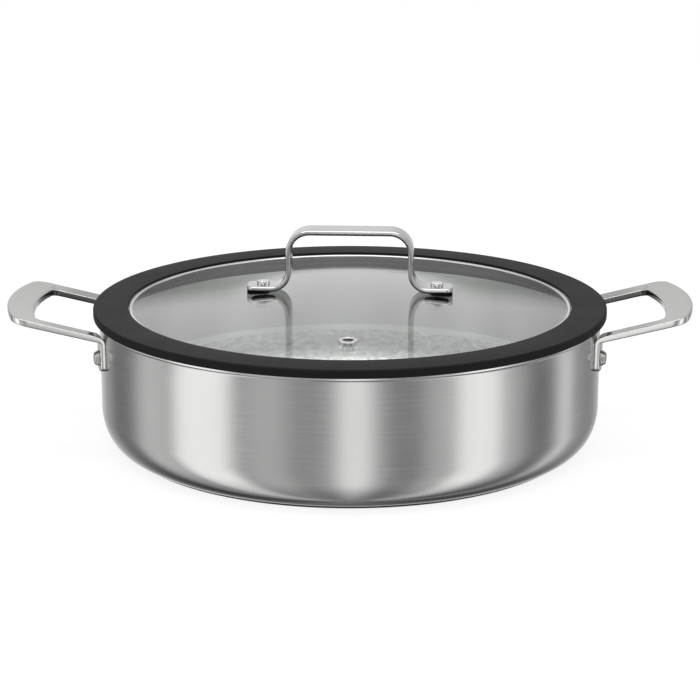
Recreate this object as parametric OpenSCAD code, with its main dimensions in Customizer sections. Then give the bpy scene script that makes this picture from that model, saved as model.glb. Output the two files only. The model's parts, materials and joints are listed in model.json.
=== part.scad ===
// Shallow two-handled saute pan with a silicone-rimmed glass lid.
// The pan stands on the plane z = 0 with its axis on Z and its side handles along X.
// All lengths are in millimetres and all angles in degrees.

/* [Pan body] */
// Clear diameter inside the pan wall
pan_inner_d = 280; // [240:1:320]
// Height of the rim above the worktop
pan_h = 74.6; // [66:0.1:110]
// Width of the rounded corner between wall and floor
corner_w = 13.8; // [10:0.1:20]
// Height of the rounded corner between wall and floor
corner_h = 21.4; // [16:0.1:28]
// Thickness of the outer steel ply
outer_ply_t = 0.5; // [0.4:0.1:0.8]
// Thickness of the aluminium core ply
core_ply_t = 1.4; // [1:0.1:2]
// Thickness of the inner steel ply
inner_ply_t = 0.4; // [0.3:0.1:0.8]
// How far the pouring lip flares out beyond the wall
lip_out = 1.6; // [0.8:0.1:1.7]
// Height over which the lip flares
lip_flare_h = 1.8; // [1.8:0.1:3]
// Height of the lip's upright edge
lip_edge_h = 1.1; // [0.6:0.1:1.4]

/* [Base plate] */
// Thickness of the induction plate under the floor
base_plate_t = 1.2; // [0.8:0.1:3]
// How far the plate's edge lies inside the outer wall
base_plate_inset = 12.6; // [10:0.1:30]
// Chamfer round the plate's lower edge
base_plate_chamfer = 0.4; // [0.2:0.1:0.6]

/* [Side handles] */
// How far a handle reaches out from the wall
handle_reach = 51.8; // [46:0.1:70]
// Width across the two legs of a handle
handle_w = 91; // [84:1:110]
// Width of one leg
leg_w = 10.5; // [10:0.5:16]
// Width of the grip at its middle
grip_w = 15; // [12:0.5:20]
// Radius of the grip's outer edge, seen from above
grip_curve_r = 120; // [70:1:160]
// Radius of the finger opening's outer edge
opening_curve_r = 120; // [55:1:140]
// Radius of the handle's outer corners
handle_corner_r = 10; // [8:0.5:18]
// Radius of the finger opening's corners
opening_corner_r = 4; // [1:0.5:5]
// Upward slope of the handle
handle_tilt = 14; // [8:1:20]
// Thickness of the tab against the wall
tab_t = 2.8; // [2.4:0.1:4]
// Thickness of a leg next to the bend
leg_t = 3.4; // [2.8:0.1:4]
// Thickness of the grip at the tip
grip_t = 3.8; // [3.4:0.1:5]
// Radius of the bend on its upper side
bend_r = 5; // [4.6:0.1:7]
// Radius of the bend on its lower side
bend_inner_r = 1.6; // [1:0.1:3]
// Drop from the rim to the upper side of the handle at the bend
handle_drop = 4.5; // [4:0.1:8]
// Drop from the rim to the lower end of the tab
tab_end_drop = 24.9; // [24:0.1:30]
// Radius of the tab's lower corners
tab_corner_r = 3; // [1:0.5:4]

/* [Rivets] */
// Drop from the rim to the rivet's axis
rivet_drop = 17.6; // [16.4:0.1:18.4]
// Diameter of the rivet shank
rivet_shank_d = 5; // [4:0.1:6]
// Diameter of the outer head at its seat
rivet_head_d = 8.8; // [7:0.1:9.4]
// Diameter of the flat face on the outer head
rivet_face_d = 6.5; // [4:0.1:6.9]
// Height of the outer head
rivet_head_h = 2.8; // [1.5:0.1:3.2]
// Diameter of the flat head inside the pan
rivet_inner_d = 10; // [8:0.1:11]
// Height of the flat head inside the pan
rivet_inner_h = 2.2; // [1:0.1:2.6]

/* [Lid ring] */
// How far the silicone ring overhangs the lip
ring_overhang = 1.9; // [1:0.1:4]
// Width of the ring seen from above
ring_w = 19.8; // [17:0.1:22]
// Height of the ring's outer side
ring_h = 4.7; // [4.2:0.1:6]
// Thickness of silicone over the steel flange
ring_cover_t = 1.4; // [1.2:0.1:2]
// Radius of the ring's outer top edge
ring_edge_r = 1.3; // [0.6:0.1:1.6]
// Radius of the ring's small edges
ring_small_r = 0.5; // [0.3:0.1:0.6]

/* [Steel band] */
// Thickness of the band's sheet
band_t = 0.6; // [0.4:0.1:0.8]
// Width of the bead that lies on the glass
bead_w = 2.4; // [2:0.1:2.8]
// Height of the bead
bead_h = 1; // [0.8:0.1:1.2]
// Thickness of the folded flange inside the ring
flange_t = 0.8; // [0.6:0.1:1]
// How far the flange stops short of the ring's outer side
flange_cover = 2.8; // [2:0.1:4]
// Depth of the band's skirt below the rim
skirt_depth = 8.6; // [6:0.1:9]
// Length of the lip that holds the glass from below
lower_lip_w = 4; // [3:0.1:6]

/* [Lid glass] */
// Thickness of the tempered glass
glass_t = 4; // [3:0.1:5]
// Rise of the dome from the glass edge to its middle
glass_crown = 9.8; // [8:0.1:14]
// How far the glass reaches under the ring
glass_grip = 5; // [4:0.1:5.5]

/* [Lid handle] */
// Turn of the whole lid on the pan
lid_turn = -3; // [-20:0.1:20]
// Width of the handle strap
strap_w = 17; // [12:0.5:20]
// Thickness of the handle strap
strap_t = 3; // [2:0.1:3.4]
// Distance between the outer faces of the legs
arch_w = 72.4; // [64:0.1:90]
// Height of the handle from the underside of its feet
arch_h = 35.9; // [30:0.1:48]
// Distance between the tips of the feet
feet_span = 116.8; // [114:0.1:150]
// Middle radius of the two upper bends
upper_bend_r = 12; // [8:0.5:14]
// Middle radius of the two lower bends
lower_bend_r = 10; // [8:0.5:10.5]
// Radius of the corners at the tips of the feet
foot_corner_r = 4; // [2:0.5:5]

/* [Lid fasteners] */
// Distance between the two handle screws
screw_spacing = 99; // [98:0.5:104]
// Diameter of the screw shank
screw_d = 4; // [3:0.1:4.4]
// Diameter of the fluted screw head
screw_head_d = 7.2; // [6:0.1:8]
// Height of the fluted screw head
screw_head_h = 2.2; // [1.6:0.1:3]
// Number of flutes round the head
flute_count = 8; // [6:1:10]
// Radius of one flute
flute_r = 0.55; // [0.3:0.05:0.7]
// Thickness of the gasket under a foot, at the screw
gasket_t = 1; // [0.8:0.1:1.6]
// Length of the gasket under a foot
gasket_l = 13; // [12:0.1:13.5]
// How far a gasket's middle lies outward of its screw
gasket_offset = 2.4; // [1.6:0.1:3.2]
// Diameter of the soft washer under the glass
washer_d = 14; // [12:0.5:18]
// Thickness of the soft washer under the glass
washer_t = 1.2; // [1:0.1:2]
// Diameter of the nut's round flange
nut_flange_d = 11; // [10:0.1:12]
// Thickness of the nut's round flange
nut_flange_t = 1; // [0.8:0.1:1.5]
// Width across the flats of the nut
nut_flats = 7; // [6.5:0.1:8]
// Height of the nut with its flange
nut_h = 4.2; // [3.5:0.1:6]

/* [Steam vent] */
// Distance of the vent from the lid's axis
vent_radius = 94; // [80:0.1:100]
// Turn of the vent away from the line across the handle
vent_turn = 2.4; // [-10:0.1:10]
// Outside diameter of the eyelet
eyelet_d = 10.5; // [9:0.1:12]
// Diameter of the steam hole
steam_hole_d = 5.2; // [4:0.1:5.6]
// Thickness of the eyelet's sheet
eyelet_t = 0.5; // [0.4:0.1:0.6]
// Height of the eyelet's rolled edge above the glass
eyelet_rise = 0.9; // [0.8:0.1:1.2]

/* [Fits] */
// Gap between the lid ring and the rim at rest
lid_gap = 0.3; // [0.3:0.05:0.5]
// Gap between the band's skirt and the pan wall
skirt_gap = 1; // [0.8:0.1:2]
// Gap round a rivet or screw shank
shank_gap = 0.05; // [0.05:0.05:0.2]
// Gap round a screw or an eyelet in the glass
glass_hole_gap = 0.5; // [0.3:0.1:1]

/* [Hidden] */
$fn = 96;
eps = 0.01;                       // overlap where two shapes are joined
hole_overrun = 5;                 // overrun of a rivet hole past the sheets it pierces
small_fn = 48;                    // facets round small pieces
right_side = 1;
left_side = -1;
front = -1;
back = 1;

// Heights and radii of the pan
wall_t = outer_ply_t + core_ply_t + inner_ply_t;
pan_r = pan_inner_d / 2 + wall_t;
lip_r = pan_r + lip_out;
lip_curve_r = lip_flare_h / sin(2 * atan(lip_out / lip_flare_h));
lip_z = pan_h - lip_edge_h - lip_flare_h;
base_plate_r = pan_r - base_plate_inset;

// Heights and radii of the lid at rest
ring_z = pan_h + lid_gap;
ring_top = ring_z + ring_h;
ring_r = lip_r + ring_overhang;
ring_inner_r = ring_r - ring_w;
flange_top = ring_top - ring_cover_t;
flange_z = flange_top - flange_t;
flange_r = ring_r - flange_cover;
skirt_r = pan_inner_d / 2 - skirt_gap;
skirt_z = pan_h - skirt_depth;
bead_x = ring_inner_r - bead_w / 2;
glass_r = ring_inner_r + glass_grip;
dome_r = (pow(glass_r, 2) + pow(glass_crown, 2)) / (2 * glass_crown);
function dome_drop(r) = dome_r - sqrt(pow(dome_r, 2) - pow(r, 2));
glass_top = flange_z + dome_drop(bead_x);
function glass_z(r) = glass_top - dome_drop(r);

// Places of the lid's hardware
screw_x = screw_spacing / 2;
foot_z = glass_z(screw_x) + gasket_t;
arch_top = foot_z + arch_h;
leg_x = (arch_w - strap_t) / 2;
head_z = foot_z + strap_t;
washer_top = glass_z(screw_x) - glass_t;
nut_top = washer_top - washer_t;
vent_slope = asin(vent_radius / dome_r);

// Places of the side handles and their rivets
leg_mid_y = (handle_w - leg_w) / 2;
rivet_azimuth = asin(leg_mid_y / pan_r);
rivet_z = pan_h - rivet_drop;
tab_r = pan_r + tab_t;
tip_x = pan_r + handle_reach;

// Points along part of an oval about a centre, from one angle to another
function oval(centre, half_w, half_h, from, to, steps = 12) = [
    for (i = [0 : steps])
        let (a = from + (to - from) * i / steps)
            [centre[0] + half_w * cos(a), centre[1] + half_h * sin(a)]
];
function arc(centre, radius, from, to, steps = 12) =
    oval(centre, radius, radius, from, to, steps);
function reversed(list) = [for (i = [len(list) - 1 : -1 : 0]) list[i]];
function mirrored(list) = [for (p = list) [-p[0], p[1]]];

// Path of the pan wall from the middle of the floor to the rim, at a depth
// measured inwards from the outer surface
function wall_path(depth) =
    let (
        radius = lip_curve_r + depth,
        sweep = asin(lip_flare_h / radius)
    )
    concat(
        [[0, base_plate_t + depth]],
        oval([pan_r - corner_w, base_plate_t + corner_h],
            corner_w - depth, corner_h - depth, -90, 0, 16),
        arc([pan_r + lip_curve_r, lip_z], radius, 180, 180 - sweep, 8),
        [[pan_r + lip_curve_r - radius * cos(sweep), pan_h]]
    );

module ply(depth_a, depth_b) {
    difference() {
        rotate_extrude($fn = 180)
            polygon(concat(wall_path(depth_a), reversed(wall_path(depth_b))));
        rivet_holes();
    }
}

module rivet_holes() {
    for (side = [left_side, right_side], row = [front, back])
        at_rivet(side, row)
            translate([0, 0, pan_inner_d / 2 - hole_overrun])
                cylinder(r = rivet_shank_d / 2 + shank_gap,
                    h = wall_t + tab_t + 2 * hole_overrun, $fn = small_fn);
}

// Places children on a rivet's axis, with local z pointing out from the pan
module at_rivet(side, row) {
    azimuth = side * row * rivet_azimuth + (side == left_side ? 180 : 0);
    translate([0, 0, rivet_z])
        rotate([0, 90, azimuth])
            children();
}

module pan_outer_skin() {
    color("silver") ply(0, outer_ply_t);
}

module pan_core() {
    color("lightgray") ply(outer_ply_t, outer_ply_t + core_ply_t);
}

module pan_inner_skin() {
    color("gainsboro") ply(outer_ply_t + core_ply_t, wall_t);
}

// The induction plate fills the wedge between the worktop and the corner's curve
module base_plate() {
    plate_edge_h = base_plate_t + corner_h / 2;
    color("dimgray")
        rotate_extrude($fn = 180)
            difference() {
                polygon([
                    [0, 0],
                    [base_plate_r - base_plate_chamfer, 0],
                    [base_plate_r, base_plate_chamfer],
                    [base_plate_r, plate_edge_h],
                    [0, plate_edge_h]
                ]);
                polygon(concat(wall_path(0), [[0, pan_h]]));
            }
}

// Section of a side handle through the pan's axis: tab, bend and sloping arm
module handle_section() {
    bend_x = pan_r + bend_r;
    arm_top_x = bend_x - bend_r * sin(handle_tilt);
    arm_top_z = pan_h - handle_drop;
    bend_z = arm_top_z - bend_r * cos(handle_tilt);
    end_x = tip_x + leg_w;
    end_z = arm_top_z + (end_x - arm_top_x) * tan(handle_tilt);
    tip_z = arm_top_z + (tip_x - arm_top_x) * tan(handle_tilt);
    root_under_z = arm_top_z - leg_t / cos(handle_tilt);
    tip_under_z = tip_z - grip_t / cos(handle_tilt);
    under_slope = atan((tip_under_z - root_under_z) / (tip_x - arm_top_x));
    end_under_z = root_under_z + (end_x - arm_top_x) * tan(under_slope);
    fillet_x = tab_r + bend_inner_r;
    fillet_z = root_under_z + (fillet_x - arm_top_x) * tan(under_slope)
        - bend_inner_r / cos(under_slope);
    polygon(concat(
        [[pan_r, pan_h - tab_end_drop]],
        arc([bend_x, bend_z], bend_r, 180, 90 + handle_tilt, 10),
        [[end_x, end_z], [end_x, end_under_z]],
        arc([fillet_x, fillet_z], bend_inner_r, 90 + under_slope, 180, 8),
        [[tab_r, pan_h - tab_end_drop]]
    ));
}

// Half-plane outline bounded by two straight sides and a curved end with round corners
module curved_end(half_w, end_x, curve_r, round_r) {
    curve_x = end_x - curve_r;
    round_y = half_w - round_r;
    round_x = curve_x + sqrt(pow(curve_r - round_r, 2) - pow(round_y, 2));
    sweep = atan2(round_y, round_x - curve_x);
    polygon(concat(
        [[0, -half_w]],
        arc([round_x, -round_y], round_r, -90, -sweep, 8),
        arc([curve_x, 0], curve_r, -sweep, sweep, 16),
        arc([round_x, round_y], round_r, sweep, 90, 8),
        [[0, half_w]]
    ));
}

// Rounds the two lower corners of each tab, seen along the handle
module tab_corner_cuts() {
    for (row = [front, back])
        translate([pan_r / 2, row * leg_mid_y, pan_h - tab_end_drop])
            rotate([90, 0, 90])
                linear_extrude(pan_r)
                    difference() {
                        translate([-leg_w, -tab_corner_r])
                            square([2 * leg_w, 2 * tab_corner_r]);
                        translate([-leg_w / 2 + tab_corner_r, 0])
                            square([leg_w - 2 * tab_corner_r, 2 * tab_corner_r]);
                        for (edge = [-1, 1])
                            translate([edge * (leg_w / 2 - tab_corner_r), tab_corner_r])
                                circle(tab_corner_r, $fn = small_fn);
                    }
}

// The arm is turned about the pan's axis, so that the tabs lie flat on the wall,
// and then cut to the handle's outline as seen from above
module side_handle() {
    sector = 2 * asin(handle_w / 2 / pan_r) + 10;
    difference() {
        intersection() {
            rotate([0, 0, -sector / 2])
                rotate_extrude(angle = sector, $fn = 360)
                    handle_section();
            linear_extrude(2 * pan_h)
                difference() {
                    curved_end(handle_w / 2, tip_x, grip_curve_r, handle_corner_r);
                    curved_end(handle_w / 2 - leg_w, tip_x - grip_w,
                        opening_curve_r, opening_corner_r);
                }
        }
        rivet_holes();
        tab_corner_cuts();
    }
}

module handle_right() {
    color("silver") side_handle();
}

module handle_left() {
    color("silver") mirror([1, 0, 0]) side_handle();
}

// Tapered head outside, shank through tab and wall, flat head inside
module handle_rivet(side, row) {
    inner_r = pan_inner_d / 2;
    inner_seat = sqrt(pow(inner_r, 2) - pow(rivet_inner_d / 2, 2)) - eps;
    shoulder_h = rivet_head_h / 4;
    edge_h = rivet_inner_h / 2;
    color("gainsboro")
        at_rivet(side, row)
            rotate_extrude($fn = small_fn)
                polygon([
                    [0, inner_seat - rivet_inner_h],
                    [rivet_inner_d / 2 - edge_h, inner_seat - rivet_inner_h],
                    [rivet_inner_d / 2, inner_seat - rivet_inner_h + edge_h],
                    [rivet_inner_d / 2, inner_seat],
                    [rivet_shank_d / 2, inner_seat],
                    [rivet_shank_d / 2, tab_r],
                    [rivet_head_d / 2, tab_r],
                    [rivet_head_d / 2, tab_r + shoulder_h],
                    [rivet_face_d / 2, tab_r + rivet_head_h],
                    [0, tab_r + rivet_head_h]
                ]);
}

// Section of the domed glass, from the axis to its edge
module glass_section() {
    steps = 20;
    upper = [for (i = [0 : steps]) let (r = glass_r * i / steps) [r, glass_z(r)]];
    lower = [for (p = upper) [p[0], p[1] - glass_t]];
    polygon(concat(upper, reversed(lower)));
}

module glass_blank() {
    rotate_extrude($fn = 180) glass_section();
}

module lid_glass() {
    color("lightblue", 0.4)
        turned_lid()
            difference() {
                glass_blank();
                for (side = [left_side, right_side])
                    translate([side * screw_x, 0, washer_top - glass_t])
                        cylinder(r = screw_d / 2 + glass_hole_gap, h = 4 * glass_t, $fn = small_fn);
                at_vent()
                    translate([0, 0, -2 * glass_t])
                        cylinder(r = steam_hole_d / 2 + eyelet_t + glass_hole_gap / 2,
                            h = 4 * glass_t, $fn = small_fn);
            }
}

// The lid's hardware is laid out along X and turned with the lid
module turned_lid() {
    rotate([0, 0, lid_turn]) children();
}

// Places children on the upper face of the glass at the vent, square to the dome
module at_vent() {
    rotate([0, 0, vent_turn - 90])
        translate([vent_radius, 0, glass_z(vent_radius)])
            rotate([0, vent_slope, 0])
                children();
}

// Half-round bead that presses on the glass inside the ring
function bead_outline() = concat(
    oval([bead_x, flange_z], bead_w / 2, bead_h, 0, 180, 16),
    oval([bead_x, flange_z], bead_w / 2, bead_h / 4, 180, 360, 16)
);

// The band grips the edge of the glass, carries the ring on its flange
// and centres the lid with its skirt
module lid_band() {
    web_z = glass_z(glass_r) - glass_t - band_t;
    lip_x = glass_r - lower_lip_w;
    color("silver")
        rotate_extrude($fn = 180)
            difference() {
                union() {
                    polygon(bead_outline());
                    translate([bead_x, flange_z])
                        square([flange_r - bead_x, flange_t]);
                    translate([glass_r, web_z])
                        square([band_t, flange_z - web_z + eps]);
                    polygon([
                        [lip_x, glass_z(lip_x) - glass_t - band_t],
                        [glass_r, web_z],
                        [glass_r + band_t, web_z],
                        [glass_r + band_t, web_z + 2 * band_t],
                        [lip_x, glass_z(lip_x) - glass_t + band_t]
                    ]);
                    translate([skirt_r - band_t, skirt_z])
                        square([band_t, flange_z - skirt_z + eps]);
                }
                glass_section();
            }
}

// Silicone ring moulded round the flange, resting on the rim
module lid_ring() {
    seat_x = skirt_r + band_t;
    color([0.16, 0.16, 0.16])
        rotate_extrude($fn = 180)
            difference() {
                polygon(concat(
                    arc([seat_x + ring_small_r, ring_z + ring_small_r], ring_small_r, 180, 270, 4),
                    arc([ring_r - ring_small_r, ring_z + ring_small_r], ring_small_r, -90, 0, 4),
                    arc([ring_r - ring_edge_r, ring_top - ring_edge_r], ring_edge_r, 0, 90, 8),
                    arc([ring_inner_r + ring_small_r, ring_top - ring_small_r],
                        ring_small_r, 90, 180, 4),
                    [[ring_inner_r, flange_top], [seat_x, flange_top]]
                ));
                translate([ring_inner_r, flange_z])
                    square([flange_r - ring_inner_r, flange_t]);
            }
}

// Outline of one half of the strap, at a distance from its middle line
function strap_path(offset) = concat(
    arc([leg_x - upper_bend_r, arch_top - strap_t / 2 - upper_bend_r],
        upper_bend_r + offset, 90, 0, 12),
    arc([leg_x + lower_bend_r, foot_z + strap_t / 2 + lower_bend_r],
        lower_bend_r - offset, 180, 270, 12),
    [[feet_span / 2, foot_z + strap_t / 2 + offset]]
);

module lid_handle() {
    outer = strap_path(strap_t / 2);
    inner = strap_path(-strap_t / 2);
    color("silver")
        turned_lid()
            difference() {
                intersection() {
                    rotate([90, 0, 0])
                        linear_extrude(strap_w, center = true)
                            polygon(concat(
                                reversed(mirrored(outer)), outer,
                                reversed(inner), mirrored(inner)
                            ));
                    linear_extrude(2 * arch_top)
                        rounded_bar(feet_span, strap_w, foot_corner_r);
                }
                for (side = [left_side, right_side])
                    translate([side * screw_x, 0, foot_z - strap_t])
                        cylinder(r = screw_d / 2 + shank_gap, h = 3 * strap_t, $fn = small_fn);
            }
}

module rounded_bar(length, width, radius) {
    square([length - 2 * radius, width], center = true);
    square([length, width - 2 * radius], center = true);
    for (x = [-1, 1], y = [-1, 1])
        translate([x * (length / 2 - radius), y * (width / 2 - radius)])
            circle(radius, $fn = small_fn);
}

// Soft pad with a flat top for the foot and an underside that follows the dome
module foot_gasket(side) {
    pad_x = screw_x + gasket_offset;
    color([0.1, 0.1, 0.1])
        turned_lid()
            difference() {
                translate([side * pad_x, 0, foot_z - 2 * gasket_t])
                    linear_extrude(2 * gasket_t)
                        rounded_bar(gasket_l, strap_w, foot_corner_r);
                glass_blank();
                translate([side * screw_x, 0, foot_z - 3 * gasket_t])
                    cylinder(r = screw_d / 2 + shank_gap, h = 4 * gasket_t, $fn = small_fn);
            }
}

module foot_gasket_left() {
    foot_gasket(left_side);
}

module foot_gasket_right() {
    foot_gasket(right_side);
}

// Fluted head on a plain shank that runs down into the nut
module handle_screw(side) {
    shank_end = nut_top - nut_h + nut_flange_t;
    color("gainsboro")
        turned_lid()
            translate([side * screw_x, 0, 0])
                difference() {
                    union() {
                        translate([0, 0, shank_end])
                            cylinder(d = screw_d, h = head_z - shank_end, $fn = small_fn);
                        translate([0, 0, head_z])
                            cylinder(d = screw_head_d, h = screw_head_h, $fn = small_fn);
                    }
                    for (i = [1 : flute_count])
                        rotate([0, 0, i * 360 / flute_count])
                            translate([screw_head_d / 2, 0, head_z + screw_head_h / 4])
                                cylinder(r = flute_r, h = screw_head_h, $fn = 24);
                }
}

// Soft washer between the glass and the nut; its top follows the dome
module glass_washer(side) {
    color([0.1, 0.1, 0.1])
        turned_lid()
            difference() {
                translate([side * screw_x, 0, nut_top])
                    cylinder(d = washer_d, h = 2 * washer_t, $fn = small_fn);
                glass_blank();
                translate([side * screw_x, 0, nut_top - washer_t])
                    cylinder(r = screw_d / 2 + shank_gap, h = 4 * washer_t, $fn = small_fn);
            }
}

module handle_nut(side) {
    color("silver")
        turned_lid()
            translate([side * screw_x, 0, nut_top])
                difference() {
                    union() {
                        translate([0, 0, -nut_flange_t])
                            cylinder(d = nut_flange_d, h = nut_flange_t, $fn = small_fn);
                        translate([0, 0, -nut_h])
                            cylinder(d = nut_flats / cos(30), h = nut_h, $fn = 6);
                    }
                    translate([0, 0, -nut_h + nut_flange_t / 2])
                        cylinder(r = screw_d / 2 + shank_gap, h = nut_h, $fn = small_fn);
                }
}

// Tubular eyelet rolled over both faces of the glass
module vent_eyelet() {
    barrel_r = steam_hole_d / 2 + eyelet_t;
    roll_r = eyelet_rise / 2;
    sink = dome_drop(eyelet_d / 2);
    low = -glass_t - sink;
    color("gainsboro")
        turned_lid()
            at_vent()
                rotate_extrude($fn = small_fn)
                    polygon(concat(
                        [[steam_hole_d / 2, low - eyelet_t], [steam_hole_d / 2, roll_r]],
                        arc([steam_hole_d / 2 + roll_r, roll_r], roll_r, 180, 90, 6),
                        arc([eyelet_d / 2 - roll_r, roll_r], roll_r, 90, 0, 6),
                        [
                            [eyelet_d / 2, 0],
                            [barrel_r, 0],
                            [barrel_r, low],
                            [eyelet_d / 2, low],
                            [eyelet_d / 2, low - eyelet_t]
                        ]
                    ));
}

pan_outer_skin();
pan_core();
pan_inner_skin();
base_plate();
handle_left();
handle_right();
handle_rivet(left_side, front);  // rivet_left_front
handle_rivet(left_side, back);  // rivet_left_back
handle_rivet(right_side, front);  // rivet_right_front
handle_rivet(right_side, back);  // rivet_right_back
lid_glass();
lid_band();
lid_ring();
lid_handle();
foot_gasket_left();
foot_gasket_right();
handle_screw(left_side);  // handle_screw_left
handle_screw(right_side);  // handle_screw_right
glass_washer(left_side);  // glass_washer_left
glass_washer(right_side);  // glass_washer_right
handle_nut(left_side);  // handle_nut_left
handle_nut(right_side);  // handle_nut_right
vent_eyelet();
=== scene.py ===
"""Looks of a two-handled saute pan with a silicone-rimmed glass lid.

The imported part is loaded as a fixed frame. The round, bent and cast pieces are remade here with
eased edges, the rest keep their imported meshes, and every piece gets a finish worked out from its
own coordinates. All lengths are in metres.
"""

from __future__ import annotations

import json
import logging
import math
from dataclasses import dataclass, field
from enum import Enum
from typing import Sequence

import bpy
from mathutils import Matrix, Vector

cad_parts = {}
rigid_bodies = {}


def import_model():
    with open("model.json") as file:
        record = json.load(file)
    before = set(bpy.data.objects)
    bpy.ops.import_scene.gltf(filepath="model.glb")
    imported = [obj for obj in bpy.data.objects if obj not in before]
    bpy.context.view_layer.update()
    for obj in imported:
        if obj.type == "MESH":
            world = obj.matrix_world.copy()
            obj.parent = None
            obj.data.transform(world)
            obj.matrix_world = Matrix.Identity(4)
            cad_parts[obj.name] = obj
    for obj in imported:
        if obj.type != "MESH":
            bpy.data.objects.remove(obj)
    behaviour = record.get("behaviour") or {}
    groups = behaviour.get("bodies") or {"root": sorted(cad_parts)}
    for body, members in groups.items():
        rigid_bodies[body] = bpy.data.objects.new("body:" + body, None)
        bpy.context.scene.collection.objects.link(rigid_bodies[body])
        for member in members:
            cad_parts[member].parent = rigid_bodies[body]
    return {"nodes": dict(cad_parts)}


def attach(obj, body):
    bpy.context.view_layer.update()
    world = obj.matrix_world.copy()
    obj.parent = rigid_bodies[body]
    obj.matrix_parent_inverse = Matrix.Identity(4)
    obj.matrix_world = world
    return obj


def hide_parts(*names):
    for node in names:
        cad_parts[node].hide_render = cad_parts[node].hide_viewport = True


LOG = logging.getLogger("saute_pan")
Point2 = tuple[float, float]
Color = tuple[float, ...]
SMOOTH_ANGLE = math.radians(32)
MERGE = 1e-6
WHITE: Color = (1.0, 1.0, 1.0, 1.0)

PAN_HEIGHT = 0.0746
HANDLE_WIDTH = 0.091
HANDLE_LEG = 0.0105
HANDLE_EDGE = 0.0007


class Body(str, Enum):
    """The two rigid bodies of the object."""

    PAN = "pan"
    LID = "lid"


class Grain(Enum):
    """Ways to brush a steel surface, as the scale of its streaks along each axis.

    The streaks of a turned surface are rings about the Z axis, which take no scale from here.
    """

    ROUND_THE_WALL = (9.0, 9.0, 2600.0)
    ALONG_X = (40.0, 1900.0, 1900.0)
    TURNED = (0.0, 0.0, 0.0)


class Signal:
    """One output socket on which arithmetic adds Math nodes."""

    def __init__(self, nodes: "Nodes", socket: bpy.types.NodeSocket) -> None:
        """Keeps the socket and the tree that it belongs to."""
        self.nodes = nodes
        self.socket = socket

    def __add__(self, other: "Signal | float") -> "Signal":
        """Sum with another signal or number."""
        return self.nodes.math("ADD", self, other)

    def __radd__(self, other: float) -> "Signal":
        """Number plus this signal."""
        return self.nodes.math("ADD", other, self)

    def __sub__(self, other: "Signal | float") -> "Signal":
        """Difference from another signal or number."""
        return self.nodes.math("SUBTRACT", self, other)

    def __rsub__(self, other: float) -> "Signal":
        """Number minus this signal."""
        return self.nodes.math("SUBTRACT", other, self)

    def __mul__(self, other: "Signal | float") -> "Signal":
        """Product with another signal or number."""
        return self.nodes.math("MULTIPLY", self, other)

    def __rmul__(self, other: float) -> "Signal":
        """Number times this signal."""
        return self.nodes.math("MULTIPLY", other, self)

    def __truediv__(self, other: "Signal | float") -> "Signal":
        """Quotient by another signal or number."""
        return self.nodes.math("DIVIDE", self, other)

    def __neg__(self) -> "Signal":
        """This signal with its sign changed."""
        return self * -1.0


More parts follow.
